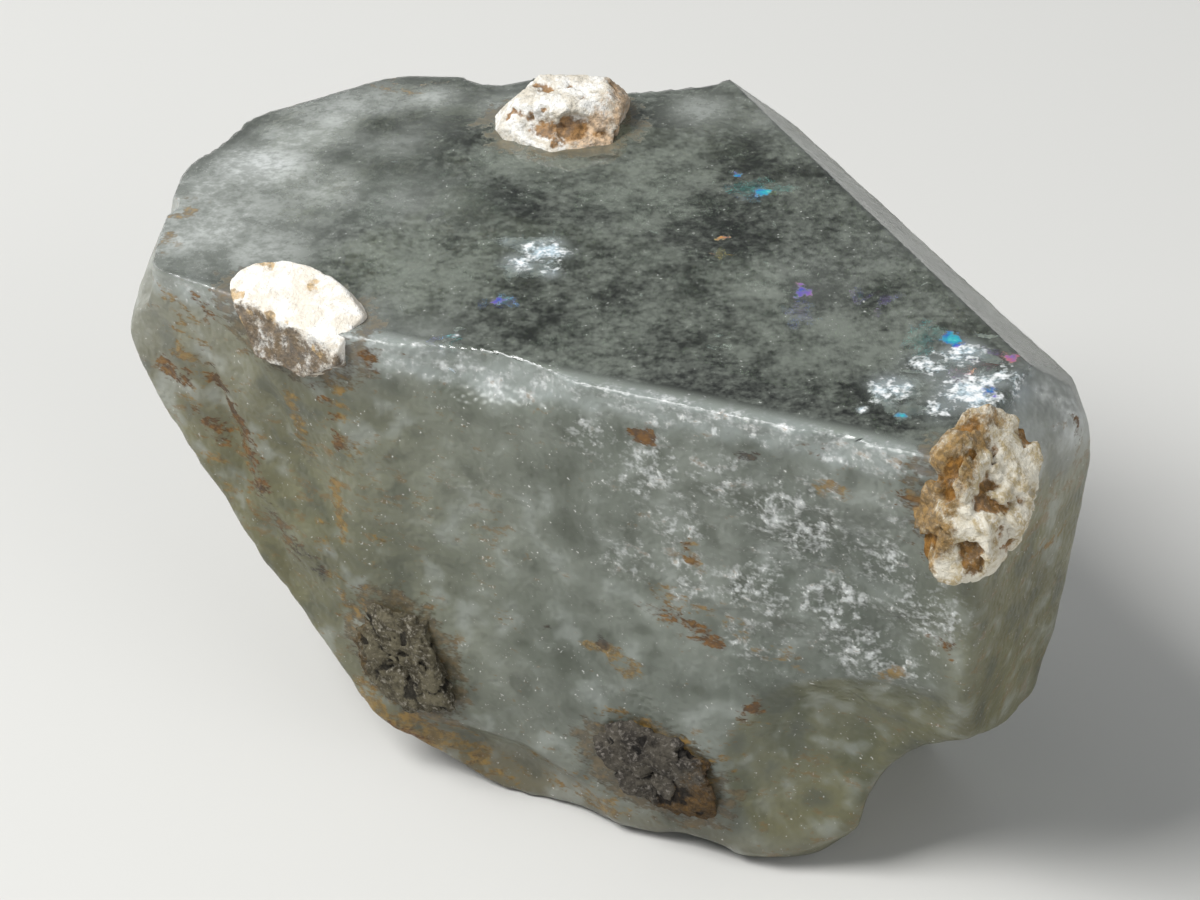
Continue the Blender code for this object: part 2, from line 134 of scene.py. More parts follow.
# Bowls broken out of the faces: face, a point of it, half width, half height, depth, turn
BOWLS = {
    "belly": ("front", (12.2, -17.2, 6.6), 7.6, 6.0, 1.5, 11.0),
    "heel_flute": ("front_heel", (14.5, -13.4, 4.3), 13.0, 3.9, 1.75, -50.4),
    "heel_bite": ("front_heel", (14.2, -18.2, 7.2), 3.4, 4.4, 1.3, 0.0),
    "edge_chip": ("front", (-5.4, -10.0, 24.6), 4.6, 2.6, 1.1, 4.0),
    "corner_chip": ("front", (12.8, -17.7, 15.6), 2.6, 2.4, 0.5, 20.0),
    "shell": ("front", (-5.8, -9.8, 15.5), 6.0, 8.5, 0.55, -25.0),
    "hackle": ("front", (10.6, -16.8, 18.6), 5.2, 3.6, 0.50, 6.0),
    "hackle_mid": ("front", (3.6, -13.8, 18.0), 3.4, 3.0, 0.35, -20.0),
    "ledge": ("front", (-4.4, -10.2, 1.9), 5.6, 1.9, 1.0, -14.0),
    "rim_left": ("front_toe", (-2.2, -11.2, 0.6), 2.6, 2.0, 0.6, 0.0),
    "rim_right": ("front_toe", (4.6, -13.6, 0.6), 2.2, 1.6, 0.5, 0.0),
    "notch_left": ("left_end", (-21.0, -0.4, 22.6), 0.9, 1.5, 0.8, 0.0),
    "notch_back": ("left_end", (-20.4, 4.2, 23.6), 0.8, 1.2, 0.5, 0.0),
    "left_dent": ("left_under", (-20.3, -0.8, 17.0), 1.4, 2.6, 0.5, 0.0),
    "left_dent_low": ("left_under", (-17.6, -3.0, 12.4), 1.4, 2.4, 0.4, 0.0),
    "lump_bay": ("back", (1.5, 13.0, 24.0), 4.6, 4.0, 1.8, 0.0),
    "slope_bay": ("back", (-5.2, 15.6, 24.0), 1.6, 2.2, 0.8, 0.0),
    "back_shell": ("back", (2.0, 13.6, 12.5), 8.5, 6.5, 1.4, 15.0),
    "back_shell_low": ("under_back", (0.0, 10.0, 5.2), 6.0, 4.0, 1.0, -10.0),
    "back_left_shell": ("back_left", (-12.0, 11.5, 15.0), 6.0, 6.0, 1.2, -20.0),
    "side_shell": ("back_right", (16.0, 0.0, 11.0), 7.0, 6.5, 0.9, 30.0),
}

# Grooves down the left side: a point, length, half width, depth
GROOVES = (
    ((-17.4, -3.4, 17.6), 6.6, 0.55, 0.45),
    ((-14.4, -5.4, 18.2), 4.4, 0.45, 0.30),
    ((-12.6, -6.6, 14.8), 5.0, 0.40, 0.26),
    ((-15.0, -5.0, 10.6), 4.6, 0.60, 0.40),
)
GROOVE_LEAN = (0.27, -0.18, -0.95)

# Small chips along the window's front edge: the edge, their number, seed and greatest size
WINDOW_EDGE = (np.array([-11.0, -7.8, 24.2]), np.array([14.3, -18.5, 25.2]))
EDGE_CHIPS = 46
EDGE_CHIP_SEED = 5
EDGE_CHIP_WIDTH = 1.5
RIM_DEPTH = 1.5                          # height of the frosted band under that edge

# Hackle, broken in fine splinters, on the front: middle, radius, strength
HACKLE = (
    ((8.5, -15.9, 20.3), 2.4, 1.0),
    ((7.2, -15.4, 20.6), 1.6, 1.0),
    ((9.3, -16.3, 22.3), 1.4, 0.8),
    ((2.1, -13.2, 21.2), 2.6, 0.8),
    ((-0.6, -12.3, 22.4), 1.8, 0.6),
    ((3.9, -13.9, 15.8), 2.0, 0.8),
    ((3.4, -13.7, 18.4), 2.2, 0.6),
    ((11.8, -17.3, 19.4), 2.0, 0.8),
    ((9.9, -16.4, 16.1), 2.6, 0.8),
    ((6.9, -15.2, 16.2), 2.2, 0.8),
    ((1.2, -13.0, 16.2), 2.0, 0.6),
    ((11.2, -16.9, 14.3), 2.2, 0.8),
    ((14.0, -18.2, 16.9), 2.2, 0.9),
    ((12.6, -17.9, 13.4), 1.8, 0.8),
    ((4.9, -14.4, 21.8), 2.2, 0.7),
    ((6.4, -15.0, 13.4), 2.4, 0.6),
    ((12.8, -17.8, 22.0), 1.8, 0.6),
    ((-6.0, -9.8, 17.6), 2.0, 0.35),
)

# Milky haze on the window, its slope and the corner: middle, radius, strength
MILK = (
    ((-18.0, 3.4, 24.0), 7.0, 0.62),
    ((-12.0, 13.5, 23.7), 4.6, 0.66),
    ((-15.9, 7.8, 23.9), 3.0, 1.00),
    ((-14.3, 10.8, 23.7), 2.8, 0.75),
    ((-12.5, 12.9, 23.7), 2.2, 0.80),
    ((-8.2, 14.7, 23.7), 1.8, 0.70),
    ((-18.2, 5.9, 23.9), 2.2, 0.75),
    ((-17.8, 1.8, 24.0), 3.4, 0.75),
    ((-15.4, -0.1, 24.1), 3.2, 0.65),
    ((-19.1, 1.0, 24.0), 2.2, 0.75),
    ((-13.0, 5.2, 24.1), 3.0, 0.60),
    ((-9.2, 4.1, 24.2), 3.6, 0.38),
    ((-11.0, -6.3, 24.4), 2.4, 0.60),
    ((-7.9, -7.3, 24.5), 2.2, 0.35),
    ((-10.0, 9.6, 24.0), 2.6, 0.42),
    ((-4.4, 13.4, 24.2), 2.4, 0.55),
    ((4.8, 11.9, 24.5), 2.2, 0.50),
    ((7.6, 10.8, 24.6), 1.6, 0.40),
    ((12.6, -1.5, 25.0), 2.4, 0.25),
    ((9.6, -4.0, 25.1), 3.2, 0.22),
    ((14.5, -5.9, 25.1), 2.0, 0.30),
    ((19.2, -12.0, 24.0), 2.2, 0.80),
    ((20.4, -11.9, 22.9), 2.4, 0.95),
    ((18.6, -14.2, 23.4), 1.8, 0.65),
)
# Painted shade: dark places in the frost, where the colour is darkened and the milky haze taken
# away: middle, radius, strength
SHADE = (
    ((-10.5, 11.9, 23.8), 1.2, 1.00),
    ((-8.9, 12.6, 23.9), 0.9, 0.80),
    ((11.5, -17.1, 18.3), 1.0, 0.90),
    ((9.4, -16.3, 18.7), 0.9, 0.60),
    ((10.6, -16.8, 19.8), 0.9, 0.60),
    ((5.9, -14.9, 23.9), 1.4, 0.50),
    ((4.4, -14.1, 14.3), 1.2, 0.40),
    ((11.1, -17.0, 16.0), 1.2, 0.60),
    ((-16.8, -3.5, 14.3), 1.2, 0.50),
    ((-15.2, -4.5, 12.2), 1.2, 0.50),
    ((8.8, 5.6, 26.0), 2.2, 0.90),
    ((11.3, 0.8, 25.9), 2.2, 0.90),
    ((13.6, -4.9, 26.3), 2.2, 0.90),
    ((15.5, -10.9, 27.1), 2.2, 0.90),
    ((17.1, -14.8, 27.4), 2.2, 0.90),
)
# White open cleavages that reach the window: middle, radius, strength
OPEN_FLAWS = (
    ((-3.6, -1.7, 24.5), 1.1, 0.90),
    ((-2.5, -0.8, 24.5), 1.5, 1.00),
    ((-4.2, 0.2, 24.5), 0.6, 0.70),
    ((-2.1, -2.7, 24.6), 0.8, 0.80),
    ((12.4, -12.9, 25.2), 1.4, 1.00),
    ((14.1, -11.1, 25.2), 1.5, 0.85),
    ((15.5, -10.2, 25.3), 1.5, 0.95),
    ((15.8, -13.2, 25.3), 2.0, 1.05),
    ((17.4, -12.3, 25.4), 1.6, 0.90),
    ((14.3, -14.4, 25.3), 1.4, 0.75),
    ((-6.3, -7.8, 24.6), 0.3, 0.90),
    ((-15.7, 11.1, 23.9), 0.35, 1.10),
    ((-13.5, 10.0, 24.0), 0.3, 0.90),
    ((11.0, -14.4, 25.2), 0.35, 1.00),
)

# Rainbow fractures that reach the window: middle, radius, strength, place in the rainbow
IRIS_SPOTS = (
    ((7.6, 4.0, 24.7), 0.60, 1.00, 0.12),
    ((6.4, 5.6, 24.7), 0.40, 0.80, 0.20),
    ((5.6, 0.0, 24.7), 0.45, 0.80, 0.66),
    ((8.9, -4.8, 24.9), 0.90, 0.70, 0.30),
    ((12.2, -6.8, 25.0), 0.50, 0.60, 0.36),
    ((15.2, -9.0, 25.2), 0.70, 1.00, 0.10),
    ((17.6, -10.6, 25.3), 0.60, 0.80, 0.48),
    ((16.6, -13.2, 25.3), 0.60, 0.80, 0.24),
    ((-4.4, -5.0, 24.6), 0.45, 0.90, 0.28),
    ((12.6, -15.0, 25.2), 0.35, 0.80, 0.15),
)

# Stains: start, end, half width, strength
STAIN_SPREAD = 1.7                       # how far past its half width a stain fades out
RUST = (
    ((-19.6, -1.6, 18.8), (-18.9, -2.1, 18.6), 0.45, 1.0),
    ((-18.1, -2.8, 23.0), (-17.7, -3.1, 22.7), 0.35, 0.9),
    ((-17.5, -3.1, 19.0), (-16.6, -3.7, 17.0), 0.50, 1.0),
    ((-16.6, -3.7, 17.0), (-15.5, -4.4, 14.3), 0.45, 1.1),
    ((-11.8, -7.1, 20.3), (-11.6, -7.2, 18.2), 0.25, 0.9),
    ((-14.0, -5.7, 22.6), (-13.3, -6.1, 21.5), 0.30, 0.5),
    ((-10.2, -8.0, 23.5), (-9.9, -8.2, 23.3), 0.30, 0.8),
    ((-8.5, -8.8, 24.2), (-8.2, -8.9, 24.1), 0.35, 0.8),
    ((1.4, -13.0, 22.8), (1.9, -13.2, 22.8), 0.32, 1.1),
    ((1.8, -12.9, 13.7), (3.5, -13.7, 13.3), 0.30, 0.9),
    ((3.4, -13.6, 13.3), (5.1, -14.3, 12.8), 0.34, 1.1),
    ((14.5, -18.4, 15.8), (14.9, -18.5, 15.7), 0.40, 0.9),
    ((-5.4, -9.9, 14.1), (-4.7, -10.2, 14.0), 0.24, 0.8),
    ((8.6, -16.0, 24.4), (9.1, -16.2, 24.3), 0.30, 0.7),
    ((6.4, -14.8, 9.0), (6.9, -15.0, 9.7), 0.30, 1.0),
    ((6.9, -15.0, 9.7), (7.6, -15.3, 9.7), 0.25, 0.8),
    ((-6.9, -9.0, 1.5), (-6.1, -9.4, 1.2), 0.40, 0.7),
    ((20.8, -11.8, 22.6), (20.9, -11.8, 22.4), 0.42, 1.2),
    ((-18.1, -2.6, 16.5), (-17.3, -3.1, 16.0), 0.50, 0.8),
    ((-6.9, -9.1, 16.5), (-6.4, -9.4, 16.0), 0.22, 0.7),
    ((13.3, -18.0, 20.6), (14.4, -18.5, 20.2), 0.40, 0.8),
    ((12.6, -17.7, 23.2), (13.4, -18.0, 22.6), 0.35, 0.8),
    ((3.6, -13.8, 17.6), (4.0, -14.0, 16.4), 0.22, 0.8),
    ((-9.6, -8.0, 2.6), (-8.6, -8.4, 2.2), 0.50, 0.9),
    ((-12.6, -6.6, 21.4), (-11.9, -7.0, 20.4), 0.30, 0.7),
)
OCHRE = (
    ((-13.8, -5.7, 20.3), (-13.2, -6.1, 17.1), 0.28, 0.9),
    ((-12.0, -6.8, 15.8), (-11.7, -7.0, 12.9), 0.30, 0.8),
    ((-12.9, -6.2, 14.3), (-12.8, -6.3, 13.4), 0.25, 0.7),
    ((-19.4, -1.9, 22.6), (-18.5, -2.4, 21.3), 0.60, 0.6),
    ((-17.7, -2.8, 14.7), (-16.6, -3.5, 12.7), 0.80, 0.5),
    ((-10.0, -8.0, 14.6), (-9.9, -8.0, 13.6), 0.28, 0.8),
    ((3.8, -13.9, 17.5), (4.3, -14.1, 16.2), 0.30, 0.8),
    ((12.3, -17.4, 12.8), (12.8, -17.6, 13.5), 0.40, 0.8),
    ((-0.6, -11.9, 10.8), (1.3, -12.7, 10.0), 0.35, 0.9),
    ((9.3, -16.3, 22.4), (10.2, -16.7, 22.5), 0.40, 0.7),
    ((11.7, -17.3, 23.7), (13.7, -18.2, 23.2), 0.30, 0.6),
    ((7.3, -15.2, 8.2), (8.9, -15.8, 8.1), 0.40, 0.5),
    ((4.0, -13.9, 13.3), (7.0, -15.1, 13.5), 0.30, 0.5),
    ((-10.8, -7.4, 3.5), (-7.9, -8.6, 2.4), 0.90, 1.0),
    ((-7.9, -8.6, 2.4), (-4.7, -10.0, 1.3), 0.80, 0.9),
    ((18.7, -14.8, 18.4), (20.2, -12.6, 17.3), 0.50, 0.45),
    ((-19.7, 3.2, 23.9), (-19.0, 4.1, 23.9), 0.50, 0.6),
    ((-20.0, 0.6, 24.0), (-19.6, 1.4, 24.0), 0.50, 0.5),
    ((-10.8, 16.4, 23.5), (-8.3, 16.4, 23.6), 0.70, 0.55),
    ((-18.6, -2.2, 20.0), (-16.4, -3.9, 15.4), 1.10, 0.55),
    ((-11.6, -7.2, 22.0), (-11.4, -7.3, 18.0), 0.50, 0.70),
    ((-12.6, -6.4, 12.6), (-12.0, -6.8, 9.8), 0.50, 0.55),
    ((6.4, -14.9, 8.6), (7.6, -15.3, 7.0), 0.40, 0.60),
    ((9.7, -16.2, 6.6), (10.6, -16.6, 8.4), 0.45, 0.60),
    ((2.4, -13.2, 14.6), (5.8, -14.6, 13.9), 0.45, 0.55),
    ((6.6, -15.0, 13.2), (8.2, -15.7, 12.9), 0.40, 0.60),
    ((-4.6, -10.2, 11.0), (-3.4, -10.7, 10.4), 0.30, 0.50),
    ((-3.4, -10.6, 2.4), (0.6, -12.3, 1.4), 0.80, 0.60),
    ((0.6, -12.3, 6.6), (5.6, -14.6, 5.6), 0.70, 0.55),
    ((-11.2, -7.2, 9.4), (-9.2, -8.1, 4.6), 0.80, 0.60),
    ((9.8, -16.4, 18.2), (10.8, -16.9, 17.6), 0.30, 0.60),
)
DIRT = (
    ((-17.6, -3.0, 19.5), (-16.7, -3.6, 17.6), 0.40, 0.8),
    ((-15.5, -4.4, 13.8), (-14.3, -5.2, 11.6), 0.50, 0.9),
    ((-14.3, -5.2, 11.6), (-13.0, -6.1, 10.5), 0.50, 0.9),
    ((-0.1, -12.1, 10.9), (0.0, -12.1, 10.9), 0.26, 1.6),
    ((-2.5, -11.1, 11.0), (-2.4, -11.1, 11.0), 0.16, 1.4),
    ((6.0, -14.9, 23.3), (6.3, -15.1, 23.3), 0.30, 0.8),
    ((9.9, -16.3, 7.3), (10.2, -16.4, 8.1), 0.30, 0.9),
    ((-7.5, -8.8, 2.4), (-6.2, -9.3, 1.4), 0.50, 0.8),
    ((-3.7, -10.4, 2.8), (-0.9, -11.6, 2.3), 0.50, 0.5),
)

# Remnants: middle, half sizes, (bearing, rise, turn) of the outer side, seeded chips, seed
REMNANTS = {
    "feldspar_lump_top": ((-1.9, 11.1, 24.4), (3.7, 3.2, 2.4), (-90.0, 90.0, 0.0), 9, 11),
    "feldspar_lump_left": ((-13.4, -5.1, 23.5), (4.1, 2.5, 2.2), (-125.0, 58.0, -6.0), 8, 29),
    "feldspar_lump_right": ((15.6, -18.0, 23.4), (4.1, 2.8, 2.3), (-62.0, 22.0, 54.0), 9, 37),
    "crust_lower_left": ((-8.9, -8.2, 7.0), (3.7, 2.6, 1.1), (-119.0, -2.0, -62.0), 9, 41),
    "crust_lower_middle": ((2.6, -13.0, 4.4), (3.8, 2.4, 1.1), (-113.0, -6.0, -12.0), 9, 53),
}
FLAT_SIDES = {
    "feldspar_lump_top": ((-90.0, 84.0, 1.9), (-80.0, 20.0, 2.6)),
    "feldspar_lump_left": ((-118.0, 72.0, 1.3), (-125.0, 5.0, 1.45)),
    "feldspar_lump_right": ((-45.0, 38.0, 1.5), (-105.0, 5.0, 2.3), (-20.0, 5.0, 2.4)),
    "crust_lower_left": ((-119.0, 0.0, 0.75),),
    "crust_lower_middle": ((-113.0, 0.0, 0.75),),
}
HOLLOWS = (
    ("feldspar_lump_top", (-0.34, -0.80, 0.42), 0.40),
    ("feldspar_lump_top", (0.20, -0.84, 0.38), 0.38),
    ("feldspar_lump_left", (0.55, 0.85, 0.75), 0.42),
    ("feldspar_lump_right", (0.35, 0.15, 0.95), 0.30),
    ("feldspar_lump_right", (-0.10, 0.45, 0.92), 0.28),
    ("feldspar_lump_right", (-0.35, -0.35, 0.95), 0.26),
    ("feldspar_lump_right", (0.10, -0.40, 0.95), 0.24),
    ("crust_lower_middle", (0.15, 0.10, 1.00), 0.40),
    ("crust_lower_left", (-0.10, 0.10, 1.00), 0.40),
)
# Skin of the remnants: slot, size and depth of the grains, depth and sparseness of the pits,
# and height of the uneven swells
GRIT = {
    "feldspar_lump_top": ("feldspar_white", 0.70, 0.22, 0.22, 0.15, 0.08),
    "feldspar_lump_left": ("feldspar_cream", 0.80, 0.12, 0.08, 0.25, 0.08),
    "feldspar_lump_right": ("feldspar_rusty", 0.75, 0.34, 0.45, -0.10, 0.08),
    "crust_lower_left": ("crust_brown", 0.42, 0.22, 0.26, 0.05, 0.30),
    "crust_lower_middle": ("crust_grey", 0.45, 0.22, 0.26, 0.05, 0.30),
}

# Tones of the remnants: two of the rock, then those of its pits, stains and specks; the left
# lump's stain tone is painted shade on its low side
ROCK = {
    "feldspar_lump_top": (
        (240, 238, 232), (214, 206, 190), (160, 118, 66), (216, 184, 148), (150, 146, 138)),
    # its dark brown fourth tone is painted shade on the lump's low side
    "feldspar_lump_left": (
        (246, 244, 238), (230, 222, 208), (210, 180, 134), (104, 84, 56), (210, 200, 184)),
    "feldspar_lump_right": (
        (214, 208, 192), (176, 160, 126), (140, 98, 40), (150, 118, 68), (236, 234, 228)),
    "crust_lower_left": (
        (96, 90, 72), (62, 57, 44), (36, 32, 24), (92, 74, 44), (164, 158, 144)),
    "crust_lower_middle": (
        (78, 73, 64), (48, 44, 39), (28, 25, 22), (98, 74, 40), (140, 134, 126)),
}

# Direction away from each remnant's stained side, along its own axes; the left lump's darker low
# side is painted shade
STAIN_AND_SHADE_SIDE = {
    "feldspar_lump_top": np.array([-0.65, 0.0, 0.75]),
    "feldspar_lump_left": np.array([0.0, 0.9, 0.45]),
    "feldspar_lump_right": np.array([0.0, -0.75, 0.65]),
    "crust_lower_left": np.array([0.0, 0.3, 0.95]),
    "crust_lower_middle": np.array([-0.5, 0.3, 0.8]),
}

# Flaws inside the crystal are wafers: thin ragged sheets, placed under a point of the window
# White cleavages: a point of the window, spread, number, greatest half size
WHITE_FLAWS = (
    ((-2.9, -1.4), 1.3, 11, 1.5),
    ((12.9, -12.9), 1.3, 12, 1.3),
    ((15.7, -10.6), 1.5, 12, 1.5),
    ((16.2, -12.8), 1.2, 9, 1.2),
    ((-15.6, 8.0), 1.4, 9, 2.0),
    ((-6.3, -7.8), 0.9, 5, 0.6),
    ((5.3, -9.6), 1.6, 5, 0.5),
)
# Fractures with rainbow colours: a point of the window, half sizes, turn, place in the rainbow
IRIS_FLAWS = (
    ((7.2, 4.3), (1.5, 0.9), 35.0, 0.10),
    ((5.5, -1.1), (1.1, 0.4), -30.0, 0.78),
    ((8.7, -6.8), (1.8, 0.9), 25.0, 0.32),
    ((11.9, -6.0), (1.4, 0.5), 10.0, 0.40),
    ((-4.4, -5.0), (0.8, 0.5), 10.0, 0.30),
    ((14.4, -9.2), (1.9, 0.8), 20.0, 0.15),
    ((16.6, -10.9), (1.1, 1.0), 60.0, 0.50),
    ((-6.6, -8.2), (0.7, 0.3), 20.0, 0.25),
)
FLAW_DEPTHS = (0.35, 1.3)
IRIS_SHEETS = 4
IRIS_DEPTHS = (0.4, 1.0)
# Tiny flaws that glitter, and thin cloudy sheets: number, seed, area under the window, depths
GLINTS = 90
GLINT_SEED = 8
GLINT_AREA = ((-14.0, 16.0), (-13.0, 8.0))
GLINT_DEPTHS = (0.1, 2.5)
VEILS = 12
VEIL_SEED = 3
VEIL_AREA = ((-15.0, 14.0), (-12.0, 9.0))
VEIL_DEPTHS = (1.2, 6.0)
VEIL_SIZES = (1.6, 7.5)                  # least and greatest half size
FLAW_THICKNESS = 0.02
GLINT_THICKNESS = 0.01
IRIS_THICKNESS = 0.015
VEIL_THICKNESS = 0.03

# Tones of the crystal, darker before lighter where there are two
COOL = ((117, 125, 117), (147, 154, 147))
WARM = ((106, 99, 46), (133, 127, 76))
# painted shade: darker streaky olive for the scooped belly, which faces down
SCOOP_SHADE = ((88, 90, 52), (124, 122, 84))
OPEN_GAP = ((188, 208, 218), (244, 246, 246))
TOE_TONE = (124, 98, 62)
PALE_PATCH = (180, 186, 180)
DARK_PATCH = (84, 90, 74)
# colour of the painted shade at the SHADE spots
SHADE_TONE = (60, 68, 56)
CLEAR_TONE = (186, 194, 180)
MILK_TONE = (220, 223, 220)
RIM_TONE = (186, 194, 190)
HACKLE_TONE = (224, 227, 225)
# near-white painted sparkle standing in for glints of light, partly fine white specks
SPECK_AND_SPARKLE_TONE = (242, 242, 238)
FRECKLE_TONE = (140, 108, 56)
HALO_TONE = (206, 216, 220)
# Stains: weight, level at which it starts to show, tone, greatest share
STAINS = (
    ("skirt", 0.40, (108, 88, 54), 0.75),
    ("ochre", 0.34, (160, 124, 48), 0.75),
    ("rust", 0.42, (108, 70, 6), 0.97),
    ("dirt", 0.50, (62, 50, 38), 0.85),
)
# A thin film's colours along a 0 to 1 place
RAINBOW = (
    (0.00, (210, 240, 240)), (0.15, (60, 200, 205)), (0.32, (50, 90, 190)),
    (0.50, (150, 110, 190)), (0.66, (215, 120, 90)), (0.80, (225, 190, 80)),
    (1.00, (190, 225, 150)),
)
STREAKS = np.array([1.0, 0.4, 1.0])      # stretch of the streaks in the painted shade of the scooped heel
CRYSTAL_IOR = 1.58
DEPTH_TONE = (168, 186, 164)             # what thick crystal lets through
DEPTH_DENSITY = 70.0                     # absorption per metre

# Camera and studio
VIEW_RISE = 35.0
VIEW_DISTANCE = 180.0
PHOTO_WIDTH = 1200.0
FOCAL_PIXELS = 3834.0
SENSOR = 36.0
AIM = np.array([0.0, 0.0, 13.0])
WINDOW_SLANT = math.tan(math.asin(math.sin(math.radians(90.0 - VIEW_RISE)) / CRYSTAL_IOR))
FLOOR_HALF = 0.9                         # metres
FLOOR_TONE = (212, 211, 207)
SKY = (0.80, 0.84, 0.88, 1.0)            # linear
SKY_STRENGTH = 0.30
# Lights: name, place from the aim in metres, size in metres, power in watts
LIGHTS = (
    ("key", (-0.30, -0.10, 0.42), 0.26, 3.2),
    ("fill", (0.36, -0.34, 0.20), 0.40, 0.8),
    ("rim", (-0.40, 0.30, 0.16), 0.30, 0.5),
)


def facing(bearing, rise):
    """Outward direction of a face from its bearing and rise in degrees."""
    b = math.radians(bearing)
    r = math.radians(rise)
    return np.array([math.cos(b) * math.cos(r), math.sin(b) * math.cos(r), math.sin(r)])


def axes(bearing, rise, turn):
    """Rows: along, up the face, outward, with the first two turned about the third."""
    b = math.radians(bearing)
    t = math.radians(turn)
    out = facing(bearing, rise)
    along = np.array([-math.sin(b), math.cos(b), 0.0])
    up = np.cross(out, along)
    first = math.cos(t) * along + math.sin(t) * up
    second = math.cos(t) * up - math.sin(t) * along
    return np.array([first, second, out])


NAMES = list(FACES)
NORMALS = np.array([facing(face[0], face[1]) for face in FACES.values()])
REACH = np.array([face[2] for face in FACES.values()])
RELIEF = np.array([face[3] for face in FACES.values()])
FROST = np.array([face[4] for face in FACES.values()])
WARMTH = np.array([face[5] for face in FACES.values()])
IS_CRISP = np.array([name in CRISP for name in FACES])


def fractal(points, size, seed, octaves=4):
    """Layered noise of about -1 to 1 whose largest bumps measure the given size."""
    shift = Vector((seed * 3.7, seed * 1.3, seed * 5.1))
    return np.array([noise.fractal(Vector(p) / size + shift, 0.9, 2.1, octaves) for p in points])


def ridged(points, size, seed):
    """Noise with sharp crests, about 0 to 1."""
    shift = Vector((seed * 2.9, seed * 4.3, seed * 0.7))
    values = [1.0 - 2.0 * abs(noise.noise(Vector(p) / size + shift)) for p in points]
    return np.clip(np.array(values), 0.0, 1.0)


def grains(points, size, seed):
    """Rounded grains, 1 at their middles and falling towards where they meet."""
    shift = Vector((seed * 1.7, seed * 2.3, seed * 3.1))
    near = np.array([noise.voronoi(Vector(p) / size + shift)[0][0] for p in points])
    return np.clip(1.0 - near ** 2, 0.0, 1.0)


def step_between(value, low, high):
    """Smooth step from 0 at low to 1 at high."""
    t = np.clip((value - low) / (high - low), 0.0, 1.0)
    return t * t * (3.0 - 2.0 * t)


def flat_faced_stone():
    """The crystal as a plain convex body: a block cut down by every face."""
    bm = bmesh.new()
    bmesh.ops.create_cube(bm, size=90.0)
    bmesh.ops.translate(bm, verts=bm.verts, vec=Vector(HEART))
    for normal, reach in zip(NORMALS, REACH):
        geom = bm.verts[:] + bm.edges[:] + bm.faces[:]
        bmesh.ops.bisect_plane(
            bm, geom=geom, dist=1e-5, plane_co=Vector(HEART + normal * reach),
            plane_no=Vector(normal), clear_outer=True)
        rim = [edge for edge in bm.edges if edge.is_boundary]
        bmesh.ops.holes_fill(bm, edges=rim, sides=0)
    bmesh.ops.recalc_face_normals(bm, faces=bm.faces[:])
    bm.verts.index_update()
    bm.verts.ensure_lookup_table()
    return bm


def grid_inside(corners, spacing):
    """Points of a three-way grid inside a flat convex outline, clear of its sides."""
    low = corners.min(axis=0)
    high = corners.max(axis=0)
    row_step = spacing * math.sqrt(0.75)
    rows = int((high[1] - low[1]) / row_step) + 1
    columns = int((high[0] - low[0]) / spacing) + 2
    grid = np.array([
        (low[0] + (column + 0.5 * (row % 2)) * spacing, low[1] + row * row_step)
        for row in range(rows) for column in range(columns)])
    keep = np.ones(len(grid), dtype=bool)
    for start, end in zip(corners, np.roll(corners, -1, axis=0)):
        side = (end - start) / np.linalg.norm(end - start)
        away = side[0] * (grid[:, 1] - start[1]) - side[1] * (grid[:, 0] - start[0])
        keep &= away > 0.55 * spacing
    return grid[keep]


def fine_skin(bm, spacing):
    """Points and triangles that cover the flat-faced stone evenly, with its edges kept."""
    points = [np.array(vert.co[:]) for vert in bm.verts]
    on_edge = {}
    for edge in bm.edges:
        first, last = edge.verts[0].index, edge.verts[1].index
        parts = max(1, round(edge.calc_length() / spacing))
        run = [first]
        for step in range(1, parts):
            run.append(len(points))
            points.append(points[first] + (points[last] - points[first]) * step / parts)
        on_edge[first, last] = run
        on_edge[last, first] = [last] + run[:0:-1]
    triangles = []
    for face in bm.faces:
        out = np.array(face.normal[:])
        first_axis = np.array((face.verts[1].co - face.verts[0].co).normalized()[:])
        flat = np.array([first_axis, np.cross(out, first_axis)])
        middle = np.array(face.calc_center_median()[:])
        corners = [vert.index for vert in face.verts]
        rim = []
        for pair in zip(corners, corners[1:] + corners[:1]):
            rim += on_edge[pair]
        inner = grid_inside((np.array([points[i] for i in corners]) - middle) @ flat.T, spacing)
        outline = (np.array([points[i] for i in rim]) - middle) @ flat.T
        names = rim + list(range(len(points), len(points) + len(inner)))
        points += [middle + spot @ flat for spot in inner]
        spots = [Vector(spot) for spot in outline] + [Vector(spot) for spot in inner]
        made = geometry.delaunay_2d_cdt(spots, [], [list(range(len(rim)))], 1, 1e-6)
        for triangle in made[2]:
            triangles.append([names[made[3][corner][0]] for corner in triangle])
    return np.array(points), triangles


def face_reach(ways):
    """Distance from the heart to each face's plane, along one way or many."""
    toward = ways @ NORMALS.T
    return np.where(toward > 1e-4, REACH / np.maximum(toward, 1e-4), 1e3)


def worn_reach(ways):
    """Distance from the heart to the surface, with the broken faces rounded together."""
    reach = face_reach(ways)
    crisp = reach[:, IS_CRISP].min(axis=1)
    rough = reach[:, ~IS_CRISP]
    least = rough.min(axis=1)
    blend = np.exp(-(rough - least[:, None]) / EDGE_WEAR).sum(axis=1)
    return np.minimum(crisp, least - EDGE_WEAR * np.log(blend))


def entry_of(start, step, radius):
    """How many steps from the start each way enters a ball about zero, or infinity."""
    a = (step ** 2).sum(axis=1)
    b = step @ start
    c = start @ start - radius ** 2
    inside = b * b - a * c
    entry = (-b - np.sqrt(np.maximum(inside, 0.0))) / a
    return np.where((inside > 0.0) & (b < 0.0), entry, np.inf)


def ball_entry(ways, middle, frame, half, wobble):
    """Distance from the heart to where each way enters an egg-shaped ball, or infinity."""
    return entry_of((frame @ (HEART - middle)) / half, (ways @ frame.T) / half, wobble)


